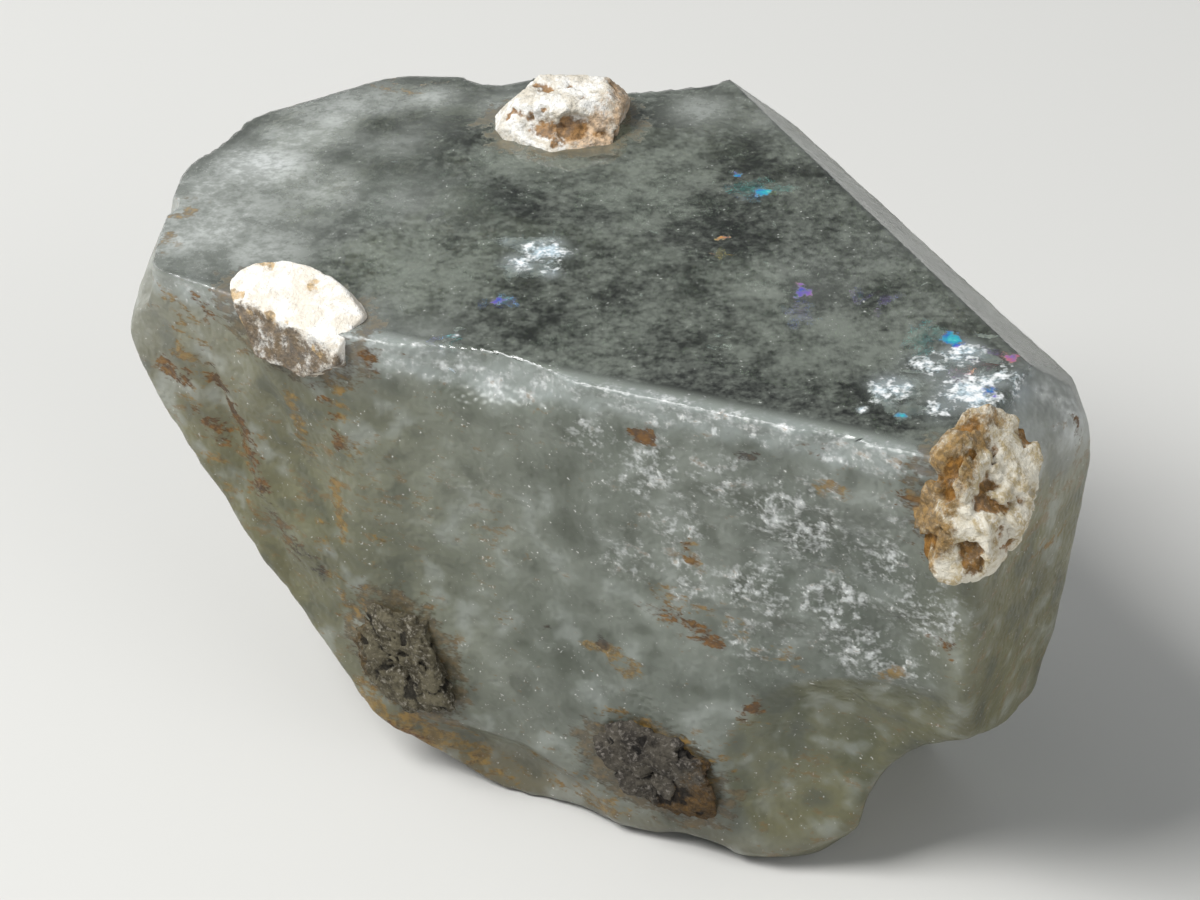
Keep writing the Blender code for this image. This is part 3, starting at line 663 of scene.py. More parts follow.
def bowl_ball(face, point, half_width, half_height, depth, turn):
    """The ball whose cap cuts a bowl of the given rim and depth into a face."""
    bearing, rise, reach = FACES[face][:3]
    frame = axes(bearing, rise, turn)
    out = frame[2]
    onto = np.array(point) - HEART
    foot = HEART + onto + out * (reach - onto @ out)
    thick = 3.0 * depth
    spread = math.sqrt(1.0 - ((thick - depth) / thick) ** 2)
    half = np.array([half_width / spread, half_height / spread, thick])
    return foot + out * (thick - depth), frame, half


def scallops():
    """Seeded small bowls that give the broken faces their shell-like fracture."""
    dice = np.random.default_rng(SCALLOP_SEED)
    for _ in range(SCALLOPS):
        way = dice.normal(size=3)
        way /= np.linalg.norm(way)
        reach = face_reach(way)
        face = NAMES[int(reach.argmin())]
        width = dice.uniform(1.6, 4.2)
        height = width * dice.uniform(0.5, 0.9)
        depth = dice.uniform(0.5, 1.5) * FACES[face][3] * width / 4.0
        turn = dice.uniform(-40.0, 40.0)
        if FACES[face][3] > 0.15 and face != "front_toe":
            yield face, tuple(HEART + way * reach.min()), width, height, depth, turn


def edge_chips():
    """Seeded small chips that make the window's front edge wavy."""
    dice = np.random.default_rng(EDGE_CHIP_SEED)
    start, end = WINDOW_EDGE
    for number in range(EDGE_CHIPS):
        along = (number + dice.uniform(0.0, 1.0)) / EDGE_CHIPS
        width = EDGE_CHIP_WIDTH * dice.uniform(0.35, 1.0)
        drop = np.array([0.0, 0.0, -dice.uniform(0.0, 0.5)])
        point = start + (end - start) * along + drop
        height = width * dice.uniform(0.5, 0.9)
        depth = width * dice.uniform(0.12, 0.30)
        yield "front", tuple(point), width, height, depth, dice.uniform(-20.0, 30.0)


def groove_depth(points):
    """Depth of the grooves that run down the left side."""
    lean = np.array(GROOVE_LEAN)
    lean = lean / np.linalg.norm(lean)
    depth = np.zeros(len(points))
    for middle, length, half_width, deep in GROOVES:
        away = points - np.array(middle)
        along = away @ lean
        aside = np.linalg.norm(away - np.outer(along, lean), axis=1)
        fade = np.exp(-(2.0 * along / length) ** 4)
        depth += deep * fade * np.exp(-(aside / half_width) ** 2)
    return depth


def relief_move(points, share):
    """Move of each point that gives the broken relief of its faces."""
    coarse = fractal(points, 5.5, 1)
    fine = fractal(points, 2.2, 2)
    crests = ridged(points, 4.0, 3)
    height = 0.75 * coarse + 0.30 * fine + 0.45 * (crests - 0.5)
    move = (share * RELIEF) @ NORMALS * height[:, None]
    left = share[:, NAMES.index("left_side")]
    return move - np.outer(left * groove_depth(points), NORMALS[NAMES.index("left_side")])


def face_shares(depth, blend):
    """How much of each face each point belongs to, from its depths under the faces."""
    share = np.exp(-np.maximum(depth, 0.0) / blend)
    return share / share.sum(axis=1)[:, None]


def softened(points, triangles, share):
    """Wears the crests of the broken faces down a little and leaves the flat faces alone."""
    corners = np.array(triangles)
    ends = np.vstack((corners[:, [0, 1]], corners[:, [1, 2]], corners[:, [2, 0]]))
    count = np.bincount(ends[:, 0], minlength=len(points))[:, None]
    weight = 0.55 * np.clip(1.0 - 1.4 * share[:, IS_CRISP].sum(axis=1), 0.0, 1.0)[:, None]
    for _ in range(3):
        total = np.zeros_like(points)
        np.add.at(total, ends[:, 0], points[ends[:, 1]])
        points = points + weight * (total / count - points)
    return points


def spot_weight(points, spots, fall=1.0):
    """Strength of round spots at each point, from 0 to 1."""
    weight = np.zeros(len(points))
    for middle, radius, strength in spots:
        away = np.linalg.norm(points - np.array(middle), axis=1)
        weight = np.maximum(weight, strength * np.exp(-(away / radius) ** 2 * fall))
    return weight


def skirt_weight(points):
    """How close each point lies to the foot of a remnant."""
    weight = np.zeros(len(points))
    for middle, half, aim, _, _ in REMNANTS.values():
        spread = np.array([half[0], half[1], max(half[2], 0.7 * half[1])])
        away = np.linalg.norm((points - np.array(middle)) @ axes(*aim).T / spread, axis=1)
        weight = np.maximum(weight, 1.0 - step_between(away, 0.95, 1.40))
    return weight


def iris_hue(points):
    """Place in the rainbow, which drifts outwards from the nearest fracture."""
    away = np.array([np.linalg.norm(points - np.array(spot[0]), axis=1) for spot in IRIS_SPOTS])
    hues = np.array([spot[3] for spot in IRIS_SPOTS])
    return hues[away.argmin(axis=0)] + 0.35 * away.min(axis=0)


def stain_weight(points, stains):
    """Strength of a set of stains at each point."""
    weight = np.zeros(len(points))
    for start, end, half_width, strength in stains:
        start = np.array(start)
        run = np.array(end) - start
        share = np.clip((points - start) @ run / (run @ run), 0.0, 1.0)
        away = np.linalg.norm(points - start - share[:, None] * run, axis=1)
        weight = np.maximum(weight, strength * np.exp(-(away / (STAIN_SPREAD * half_width)) ** 2))
    return weight


def fine_move(points, share, hackle):
    """Finer relief than the solid's: splinters, shell ripples and a grainy skin."""
    front = NAMES.index("front")
    rough = share[:, ~IS_CRISP].sum(axis=1)
    arcs = np.linalg.norm(points - np.array(REMNANTS["crust_lower_left"][0]), axis=1)
    ripple = np.sin(arcs * 4.2 + 2.0 * fractal(points, 3.0, 6, 2))
    reach = step_between(arcs, 4.0, 7.0) * step_between(-arcs, -19.0, -13.0)
    splinters = ridged(points * np.array([1.0, 1.0, 1.7]), 0.9, 4) - 0.5
    skin = fractal(points, 0.9, 5, 3)
    height = 0.035 * rough * skin + 0.018 * share[:, front] * ripple * reach
    height += 0.20 * hackle * splinters
    return (share @ NORMALS) * height[:, None]


def rim_weight(points, depth, share):
    """How strongly each point lies in the frosted band under the window's front edge."""
    below = depth[:, NAMES.index("window")] + 0.45 * fractal(points, 1.6, 9, 3)
    toward = sum(share[:, NAMES.index(name)] for name in ("front", "front_bevel", "left_side"))
    return step_between(-below, -RIM_DEPTH, -0.6 * RIM_DEPTH) * step_between(toward, 0.25, 0.6)


def shaped_points(points, triangles):
    """Points on the worn and broken crystal, with the weights that its material uses."""
    away = points - HEART
    plain = np.linalg.norm(away, axis=1)
    ways = away / plain[:, None]
    surface = worn_reach(ways)
    uncut = surface.copy()
    bowls = list(BOWLS.values()) + list(scallops())
    for number, bowl in enumerate(bowls + list(edge_chips())):
        middle, frame, half = bowl_ball(*bowl)
        near = np.nonzero(ball_entry(ways, middle, frame, half, 1.2) < surface)[0]
        if len(near):
            wobble = 1.0 + 0.10 * fractal(ways[near] * 12.0, 4.5, 20 + number, 2)
            entry = ball_entry(ways[near], middle, frame, half, wobble)
            surface[near] = np.minimum(surface[near], entry)
    shaped = HEART + ways * surface[:, None]
    depth = REACH - away @ NORMALS.T
    share = face_shares(depth, FACE_BLEND)
    shaped = softened(shaped, triangles, share)
    shaped += relief_move(shaped, share)
    hackle = spot_weight(shaped, HACKLE, 1.4)
    shaped += fine_move(shaped, share, hackle)
    shaped[:, 2] = np.where(shaped[:, 2] < FOOT, 0.0, shaped[:, 2])
    broken = step_between(uncut - surface, 0.02, 0.15)
    belly = ball_entry(ways, *bowl_ball(*BOWLS["belly"]), 1.0)
    leaning = shaped @ axes(20.0, 50.0, 30.0).T
    weights = {
        "frost": np.maximum(face_shares(depth, FROST_BLEND) @ FROST, broken * 0.9),
        "warmth": share @ WARMTH,
        "hackle": hackle,
        "rim": rim_weight(shaped, depth, share),
        "scoop_shade": step_between(uncut - belly, 0.0, 0.4),
        "milk": spot_weight(shaped, MILK),
        "shade": spot_weight(shaped, SHADE),
        "open": spot_weight(shaped, OPEN_FLAWS),
        "iris": spot_weight(shaped, [spot[:3] for spot in IRIS_SPOTS]),
        "hue": iris_hue(shaped),
        "toe": share[:, NAMES.index("front_toe")] + share[:, NAMES.index("left_toe")],
        "rust": stain_weight(shaped, RUST),
        "ochre": stain_weight(shaped, OCHRE),
        "dirt": stain_weight(shaped, DIRT),
        "skirt": skirt_weight(shaped),
        "cloud": 0.5 + 0.20 * fractal(shaped, 4.5, 31, 5),
        "mottle": 0.5 + 0.20 * fractal(shaped, 1.5, 35, 4),
        "streak": 0.5 + 0.20 * fractal(leaning * STREAKS, 2.2, 33, 5),
    }
    return shaped, weights


def in_frame(points):
    """Points in the frame's metres from points in the crystal's own millimetres."""
    return (np.asarray(points) + ORIGIN) * MM


def mesh_object(name, points, triangles, weights):
    """A smooth object from points in the crystal's millimetres, with a weight per point."""
    mesh = bpy.data.meshes.new(name)
    mesh.from_pydata(in_frame(points).tolist(), [], triangles)
    for label, values in weights.items():
        layer = mesh.attributes.new(label, "FLOAT", "POINT")
        layer.data.foreach_set("value", np.asarray(values, dtype=np.float32))
    mesh.polygons.foreach_set("use_smooth", [True] * len(mesh.polygons))
    obj = bpy.data.objects.new(name, mesh)
    bpy.context.scene.collection.objects.link(obj)
    return obj


def tone(colour):
    """Linear colour from the everyday 0 to 255 values."""
    parts = [value / 255.0 for value in colour]
    return tuple(p / 12.92 if p <= 0.04045 else ((p + 0.055) / 1.055) ** 2.4 for p in parts)


class Finish:
    """A Principled material and short helpers that wire its inputs."""

    def __init__(self, name):
        self.material = bpy.data.materials.new(name)
        self.material.use_nodes = True
        self.tree = self.material.node_tree
        self.shader = self.tree.nodes["Principled BSDF"]
        self.place = self.node("ShaderNodeTexCoord").outputs["Object"]

    def node(self, kind, **settings):
        made = self.tree.nodes.new(kind)
        for name, value in settings.items():
            setattr(made, name, value)
        return made

    def feed(self, socket, value):
        if isinstance(value, bpy.types.NodeSocket):
            self.tree.links.new(value, socket)
        elif isinstance(value, tuple) and len(value) == 3 and len(socket.default_value) == 4:
            socket.default_value = (*value, 1.0)
        else:
            socket.default_value = value

    def weight(self, label):
        return self.node("ShaderNodeAttribute", attribute_name=label).outputs["Fac"]

    def noise(self, size, detail=3.0, roughness=0.55, warp=0.0, stretch=None):
        """Noise of 0 to 1 whose bumps measure size millimetres."""
        place = self.place
        if stretch:
            spread = self.node("ShaderNodeMapping", vector_type="POINT")
            self.feed(spread.inputs["Vector"], place)
            spread.inputs["Rotation"].default_value = stretch[0]
            spread.inputs["Scale"].default_value = stretch[1]
            place = spread.outputs["Vector"]
        made = self.node("ShaderNodeTexNoise")
        self.feed(made.inputs["Vector"], place)
        made.inputs["Scale"].default_value = 1.0 / (size * MM)
        made.inputs["Detail"].default_value = detail
        made.inputs["Roughness"].default_value = roughness
        made.inputs["Distortion"].default_value = warp
        return made.outputs["Fac"]

    def maths(self, operation, first, second=0.0):
        made = self.node("ShaderNodeMath", operation=operation)
        self.feed(made.inputs[0], first)
        self.feed(made.inputs[1], second)
        return made.outputs[0]

    def times(self, first, second):
        return self.maths("MULTIPLY", first, second)

    def plus(self, first, second):
        return self.maths("ADD", first, second)

    def band(self, value, low, high, bottom=0.0, top=1.0):
        """Smooth step of a value between low and high, to between bottom and top."""
        made = self.node("ShaderNodeMapRange", interpolation_type="SMOOTHSTEP")
        self.feed(made.inputs["Value"], value)
        made.inputs["From Min"].default_value = low
        made.inputs["From Max"].default_value = high
        made.inputs["To Min"].default_value = bottom
        made.inputs["To Max"].default_value = top
        return made.outputs["Result"]

    def blend(self, share, first, second):
        made = self.node("ShaderNodeMix", data_type="RGBA")
        self.feed(made.inputs["Factor"], share)
        colours = [socket for socket in made.inputs if socket.type == "RGBA"]
        self.feed(colours[0], first)
        self.feed(colours[1], second)
        return [socket for socket in made.outputs if socket.type == "RGBA"][0]

    def rainbow(self, place):
        """The colours of a thin film along a place that repeats every 1."""
        ramp = self.node("ShaderNodeValToRGB")
        for number, (where, colour) in enumerate(RAINBOW):
            if number < 2:
                stop = ramp.color_ramp.elements[number]
            else:
                stop = ramp.color_ramp.elements.new(where)
            stop.position = where
            stop.color = (*tone(colour), 1.0)
        self.feed(ramp.inputs["Fac"], self.maths("FRACT", place))
        return ramp.outputs["Color"]

    def darker(self, paint):
        return tuple(0.45 * part for part in paint)

    def bump(self, height, depth, under=None):
        """Bump of a 0 to 1 height over a depth in millimetres, on top of another bump."""
        made = self.node("ShaderNodeBump")
        self.feed(made.inputs["Height"], height)
        made.inputs["Distance"].default_value = depth * MM
        made.inputs["Strength"].default_value = 1.0
        if under is not None:
            self.feed(made.inputs["Normal"], under)
        return made.outputs["Normal"]

    def set(self, **inputs):
        for name, value in inputs.items():
            self.feed(self.shader.inputs[name.replace("_", " ")], value)


def crystal_finish():
    """Grey-green glass that is frosted, splintered and stained where the weights say."""
    f = Finish("goshenite")
    cloud = f.weight("cloud")
    mottle = f.weight("mottle")
    flake = f.noise(0.42, 2.0, 0.74)
    splinter = f.noise(1.1, 3.0, 0.78, 0.0, ((0.2, -0.5, 0.5), (1.0, 1.0, 1.9)))
    tiny = f.noise(0.11, 0.0)
    edge = f.plus(splinter, -0.5)

    frost = f.band(f.weight("frost"), 0.10, 0.70)
    grainy = f.plus(f.plus(f.times(mottle, 0.6), f.times(flake, 0.5)), f.times(edge, 0.3))
    shade = f.times(f.weight("shade"), f.band(mottle, 0.40, 0.55))
    milk = f.times(f.weight("milk"), f.band(grainy, 0.42, 0.68, 0.74, 1.15))
    milk = f.times(f.maths("MINIMUM", milk, 1.0), f.maths("SUBTRACT", 1.0, f.weight("shade")))
    rim = f.weight("rim")
    spread = f.maths("MAXIMUM", f.weight("hackle"), f.times(rim, 0.55))
    hackle = f.plus(f.times(spread, 0.20), f.plus(f.times(splinter, 1.0), f.times(flake, 1.1)))
    hackle = f.times(f.band(hackle, 1.10, 1.42), f.band(spread, 0.02, 0.6))
    # painted sparkle: near-white specks on the frost and the window that stand in for glints of
    # light, partly fine white specks
    specks_and_sparkle = f.plus(f.times(tiny, 0.6), f.plus(f.times(flake, 0.5), f.times(splinter, 0.3)))
    specks_and_sparkle = f.plus(specks_and_sparkle, f.times(spread, 0.05))
    specks_and_sparkle = f.times(f.band(specks_and_sparkle, 0.88, 0.98), f.band(frost, 0.0, 1.0, 0.6, 0.85))
    gap = f.plus(f.weight("open"), f.plus(f.times(f.plus(flake, -0.5), 1.4), f.times(edge, 1.6)))
    gap = f.times(f.band(gap, 0.46, 1.15), f.band(f.weight("open"), 0.12, 0.45))
    halo = f.times(f.band(f.weight("open"), 0.10, 0.80), f.band(mottle, 0.38, 0.58, 0.2, 0.6))

    cool = f.blend(f.band(cloud, 0.36, 0.64), tone(COOL[0]), tone(COOL[1]))
    warm = f.blend(f.band(cloud, 0.36, 0.64), tone(WARM[0]), tone(WARM[1]))
    body = f.blend(f.weight("warmth"), cool, warm)
    # painted shade on the downward-facing belly scoop, broken into streaks
    scoop_shade = f.blend(f.band(f.weight("streak"), 0.40, 0.58), tone(SCOOP_SHADE[0]), tone(SCOOP_SHADE[1]))
    body = f.blend(f.times(f.weight("scoop_shade"), f.band(mottle, 0.30, 0.60, 0.45, 0.85)), body, scoop_shade)
    body = f.blend(f.times(f.weight("toe"), 0.65), body, tone(TOE_TONE))
    body = f.blend(f.times(f.band(mottle, 0.50, 0.66), 0.50), body, tone(PALE_PATCH))
    body = f.blend(f.times(f.band(mottle, 0.47, 0.36), 0.50), body, tone(DARK_PATCH))
    # painted shade: the colour is darkened towards a dark green-grey at the SHADE spots
    body = f.blend(f.times(shade, 0.8), body, tone(SHADE_TONE))
    body = f.blend(frost, tone(CLEAR_TONE), body)
    body = f.blend(milk, body, tone(MILK_TONE))
    body = f.blend(f.times(rim, f.band(mottle, 0.35, 0.6, 0.35, 0.75)), body, tone(RIM_TONE))
    body = f.blend(f.times(hackle, 0.80), body, tone(HACKLE_TONE))
    body = f.blend(specks_and_sparkle, body, tone(SPECK_AND_SPARKLE_TONE))
    stained = f.times(frost, 0.0)
    for label, low, colour, deep in STAINS:
        paint = tone(colour)
        level = f.plus(f.times(f.weight(label), 0.8), f.times(edge, 2.8))
        share = f.times(f.band(level, low, low + 0.40), f.band(f.weight(label), 0.04, 0.30))
        share = f.times(share, deep)
        body = f.blend(share, body, f.blend(f.band(flake, 0.40, 0.60), paint, f.darker(paint)))
        stained = f.maths("MAXIMUM", share, stained)
    freckle = f.band(f.plus(edge, f.plus(f.times(cloud, 0.5), f.times(f.weight("warmth"), 0.10))),
                     0.38, 0.50)
    freckle = f.times(freckle, frost)
    body = f.blend(f.times(freckle, 0.55), body, tone(FRECKLE_TONE))
    body = f.blend(halo, body, tone(HALO_TONE))
    glass = f.blend(f.band(flake, 0.40, 0.60), tone(OPEN_GAP[0]), tone(OPEN_GAP[1]))
    body = f.blend(gap, body, glass)
    sheen = f.plus(f.weight("iris"), f.times(edge, 2.4))
    sheen = f.times(f.band(sheen, 0.45, 0.85), f.band(f.weight("iris"), 0.10, 0.35))
    tint = f.rainbow(f.plus(f.weight("hue"), f.times(f.plus(flake, -0.5), 0.4)))
    body = f.blend(sheen, body, tint)

    solid = f.times(frost, f.band(mottle, 0.30, 0.70, 0.50, 0.66))
    for share, limit in (
            (hackle, 0.8), (specks_and_sparkle, 0.9), (stained, 1.0), (freckle, 0.5), (rim, 0.60),
            (milk, 0.80), (halo, 0.6), (gap, 0.95), (sheen, 0.75)):
        solid = f.maths("MAXIMUM", solid, f.times(share, limit))
    haze = f.plus(f.times(cloud, 0.8), f.plus(f.times(mottle, 0.45), f.times(flake, 0.45)))
    solid = f.maths("MAXIMUM", solid, f.band(haze, 0.68, 1.04, 0.02, 0.34))
    rough = f.plus(f.times(frost, 0.34), f.times(f.maths("MAXIMUM", stained, milk), 0.2))
    normal = f.bump(f.times(f.noise(0.28, 0.0), f.weight("frost")), 0.08)
    f.set(Base_Color=body, Roughness=f.plus(rough, 0.02), Normal=normal,
          Transmission_Weight=f.maths("SUBTRACT", 1.0, solid))
    f.shader.inputs["IOR"].default_value = CRYSTAL_IOR
    depth = f.node("ShaderNodeVolumeAbsorption")
    depth.inputs["Color"].default_value = (*tone(DEPTH_TONE), 1.0)
    depth.inputs["Density"].default_value = DEPTH_DENSITY
    output = f.tree.nodes["Material Output"]
    f.tree.links.new(depth.outputs["Volume"], output.inputs["Volume"])
    return f.material


def stone_finish(name, light, dark, pit_tone, stain_and_shade_tone, speck_tone):
    """Granular rock whose pits and edges are stained; on the left lump the darker stained side is
    painted shade.
    """
    f = Finish(name)
    patch = f.noise(0.9, 4.0, 0.66, 0.4)
    body = f.blend(f.band(patch, 0.40, 0.60), light, dark)
    speck = f.plus(f.times(f.noise(0.22, 3.0, 0.7), 0.7), f.times(patch, 0.3))
    body = f.blend(f.times(f.band(speck, 0.50, 0.66), 0.60), body, speck_tone)
    # one side takes the stain tone: a real stain on most remnants, painted shade on the left
    # lump's low side
    edge = f.plus(f.weight("stain_and_shade"), f.times(f.plus(f.noise(1.0, 5.0, 0.75), -0.5), 2.4))
    grime = f.band(f.noise(0.32, 4.0, 0.7), 0.40, 0.62)
    soiled_and_shaded = f.blend(grime, f.darker(stain_and_shade_tone), stain_and_shade_tone)
    body = f.blend(f.times(f.band(edge, 0.50, 1.05), 0.90), body, soiled_and_shaded)
    pit = f.plus(f.weight("pit"), f.times(f.plus(f.noise(0.35, 3.0, 0.7), -0.5), 1.4))
    hole = f.blend(grime, f.darker(pit_tone), pit_tone)
    body = f.blend(f.times(f.band(pit, 0.34, 0.75), 0.9), body, hole)
    normal = f.bump(f.noise(0.16, 2.0, 0.65), 0.06)
    normal = f.bump(f.noise(0.6, 4.0, 0.7), 0.20, normal)
    f.set(Base_Color=body, Roughness=f.band(patch, 0.3, 0.7, 0.75, 0.95), Normal=normal)
    f.shader.inputs["Specular IOR Level"].default_value = 0.3
    return f.material


def crystal():
    """The crystal in place of its solid."""
    bm = flat_faced_stone()
    points, triangles = fine_skin(bm, GRAIN)
    bm.free()
    shaped, weights = shaped_points(points, triangles)
    obj = mesh_object("crystal_looks", shaped, triangles, weights)
    obj.data.materials.append(crystal_finish())
    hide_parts("goshenite_crystal")
    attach(obj, "root")


def nugget_size(name, ways):
    """Distance from a remnant's middle to its chipped outside."""
    _, half, aim, chips, seed = REMNANTS[name]
    half = np.array(half)
    frame = axes(*aim)
    size = 1.0 / np.linalg.norm(ways / half, axis=1)
    dice = np.random.default_rng(seed)
    sides = []
    for _ in range(chips):
        chip = dice.normal(size=3)
        chip /= np.linalg.norm(chip)
        sides.append((chip, dice.uniform(0.70, 0.90) * np.linalg.norm(half * chip)))
    for bearing, rise, away in FLAT_SIDES[name]:
        sides.append((frame @ facing(bearing, rise), away))
    for chip, away in sides:
        size = np.minimum(size, away / np.maximum(ways @ chip, 1e-3))
    return size


def remnant(name):
    """A granular nugget of host rock in place of its solid."""
    middle, half, aim, _, seed = REMNANTS[name]
    slot, grit, grit_depth, pit_depth, pit_start, uneven = GRIT[name]
    half = np.array(half)
    bm = bmesh.new()
    bmesh.ops.create_icosphere(bm, subdivisions=6, radius=1.0)
    ways = np.array([v.co[:] for v in bm.verts]) * half
    ways /= np.linalg.norm(ways, axis=1)[:, None]
    triangles = [[v.index for v in face.verts] for face in bm.faces]
    bm.free()
    whole = nugget_size(name, ways)
    size = whole
    for owner, spot, radius in HOLLOWS:
        if owner == name:
            size = np.minimum(size, entry_of(-np.array(spot), ways / half, radius))
    hollow = step_between(whole - size, 0.1, 0.8)
    spots = ways * size[:, None]
    lumps = 0.50 * grains(spots, grit, seed) + 0.25 * grains(spots, grit * 0.45, seed + 4)
    lumps += 0.25 * ridged(spots, grit * 1.6, seed + 5)
    holes = step_between(fractal(spots, grit * 2.0, seed + 1, 3), pit_start, pit_start + 0.45)
    spots = spots - ways * (grit_depth * (1.0 - lumps) + pit_depth * holes)[:, None]
    spots += ways * (uneven * fractal(spots, 0.9, seed + 2))[:, None]
    # the low side takes the stain tone, which on the left lump is painted shade
    low_side = step_between(-(ways @ STAIN_AND_SHADE_SIDE[name]), -0.35, 0.25)
    weights = {"pit": np.maximum(holes * 0.8, hollow), "stain_and_shade": low_side}
    obj = mesh_object(name + "_looks", np.array(middle) + spots @ axes(*aim), triangles, weights)
    obj.data.materials.append(stone_finish(name, *[tone(colour) for colour in ROCK[name]]))
    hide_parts(name)
    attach(obj, "root")


def wafer(middle, half, aim, seed, thick, rings=7, spokes=32):
    """Points and triangles of a thin ragged sheet, closed all round."""
    turns = np.arange(spokes) * 2.0 * math.pi / spokes
    rim = np.stack((np.cos(turns), np.sin(turns), np.zeros(spokes)), axis=1)
    ragged = 1.0 + 0.45 * fractal(rim, 0.8, seed, 3)
    flat = [np.zeros(3)]
    for ring in range(1, rings + 1):
        flat += list(rim * ragged[:, None] * ring / rings)
    flat = np.array(flat)
    away = np.linalg.norm(flat, axis=1) / np.concatenate(([1.0], np.tile(ragged, rings)))
    wave = 0.16 * fractal(flat, 0.9, seed + 1, 3) * min(half)
    lift = thick * (1.0 - away ** 2)
    flat = flat * np.array([half[0], half[1], 1.0])
    upper = flat + np.outer(wave + lift, (0.0, 0.0, 1.0))
    lower = (flat + np.outer(wave - lift, (0.0, 0.0, 1.0)))[:1 + spokes * (rings - 1)]
    points = np.array(middle) + np.vstack((upper, lower)) @ axes(*aim)
    below = len(upper)

    def spot(side, ring, spoke):
        if ring == 0:
            return side
        return 1 + (ring - 1) * spokes + spoke % spokes + (0 if ring == rings else side)

    triangles = []
    for ring in range(rings):
        for spoke in range(spokes):
            for side in (0, below):
                inner = (spot(side, ring, spoke), spot(side, ring, spoke + 1))
                outer = (spot(side, ring + 1, spoke), spot(side, ring + 1, spoke + 1))
                made = [[inner[0], outer[0], outer[1]]]
                if ring:
                    made.append([inner[0], outer[1], inner[1]])
                triangles += [corners[::-1] if side else corners for corners in made]
    fade = 1.0 - np.concatenate((away, away[:len(lower)]))
    return points, triangles, fade


def joined(name, wafers, finish, tones):
    """One object from many wafers, with a tone of 0 to 1 for each."""
    points, triangles, fades, marks = [], [], [], []
    for (spots, corners, fade), mark in zip(wafers, tones):
        base = sum(len(part) for part in points)
        points.append(spots)
        triangles += [[base + corner for corner in triangle] for triangle in corners]
        fades.append(fade)
        marks.append(np.full(len(spots), mark))
    weights = {"fade": np.concatenate(fades), "tone": np.concatenate(marks)}
    obj = mesh_object(name, np.vstack(points), triangles, weights)
    obj.data.materials.append(finish)
    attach(obj, "root")


def seen_at(x, y, depth):
    """The spot under the window, at a depth, that the camera sees through its point x, y."""
    normal = NORMALS[NAMES.index("window")]
    reach = REACH[NAMES.index("window")]
    top = HEART[2] + (reach - (np.array([x, y]) - HEART[:2]) @ normal[:2]) / normal[2]
    return np.array([x, y + WINDOW_SLANT * depth, top - depth])


def room_for(middle, way):
    """Greatest half size of a flat sheet that stays inside the faces."""
    margin = REACH - (middle - HEART) @ NORMALS.T - 0.5
    tilt = np.sqrt(np.maximum(1.0 - (NORMALS @ way) ** 2, 0.01))
    return (margin / tilt).min()


def random_aim(dice, low, high):
    """Bearing, rise between low and high, and turn of a sheet, drawn in that order."""
    return dice.uniform(-180.0, 180.0), dice.uniform(low, high), dice.uniform(0.0, 180.0)


def white_flaws():
    """Ragged white flakes in the open cleavages, and scattered glints."""
    dice = np.random.default_rng(GLINT_SEED)
    sheets = []
    for (x, y), spread, count, greatest in WHITE_FLAWS:
        for _ in range(count):
            spot = seen_at(x + dice.normal() * spread * 0.45, y + dice.normal() * spread * 0.6,
                           dice.uniform(*FLAW_DEPTHS))
            aim = random_aim(dice, 48.0, 86.0)
            size = greatest * dice.uniform(0.3, 1.0)
            half = (size, size * dice.uniform(0.3, 0.8))
            if room_for(spot, facing(*aim[:2])) > size * 0.7:
                sheets.append(wafer(spot, half, aim, int(dice.integers(1000)), FLAW_THICKNESS))
    for _ in range(GLINTS):
        spot = seen_at(dice.uniform(*GLINT_AREA[0]), dice.uniform(*GLINT_AREA[1]),
                       dice.uniform(*GLINT_DEPTHS))
        aim = random_aim(dice, 10.0, 80.0)
        half = (dice.uniform(0.06, 0.30), dice.uniform(0.03, 0.12))
        if room_for(spot, facing(*aim[:2])) > 0.4:
            sheets.append(wafer(spot, half, aim, int(dice.integers(1000)), GLINT_THICKNESS,
                                rings=3, spokes=12))
    joined("white_flaws", sheets, flaw_finish(), dice.uniform(0.0, 1.0, len(sheets)))


def iris_flaws():
    """Little groups of rainbow sheets."""
    dice = np.random.default_rng(GLINT_SEED + 1)
    sheets = []
    tones = []
    for (x, y), half, turn, hue in IRIS_FLAWS:
        for _ in range(IRIS_SHEETS):
            spot = seen_at(x + dice.normal() * 0.4, y + dice.normal() * 0.4,
                           dice.uniform(*IRIS_DEPTHS))
            aim = (dice.uniform(-180.0, 180.0), dice.uniform(60.0, 85.0), turn)
            size = dice.uniform(0.4, 1.0)
            sheets.append(wafer(spot, (half[0] * size, half[1] * size), aim,
                                int(dice.integers(1000)), IRIS_THICKNESS))
            tones.append(hue + dice.uniform(-0.08, 0.08))
    joined("iris_flaws", sheets, iris_finish(), tones)


def veils():
    """Cloudy sheets as large as the crystal has room for."""
    dice = np.random.default_rng(VEIL_SEED)
    sheets = []
    while len(sheets) < VEILS:
        spot = seen_at(dice.uniform(*VEIL_AREA[0]), dice.uniform(*VEIL_AREA[1]),
                       dice.uniform(*VEIL_DEPTHS))
        aim = random_aim(dice, 62.0, 88.0)
        room = min(room_for(spot, facing(*aim[:2])) * 0.62, VEIL_SIZES[1])
        if room > VEIL_SIZES[0]:
            sheets.append(wafer(spot, (room, room * dice.uniform(0.45, 0.9)), aim,
                                int(dice.integers(1000)), VEIL_THICKNESS))
    joined("veils", sheets, veil_finish(), dice.uniform(0.0, 1.0, len(sheets)))


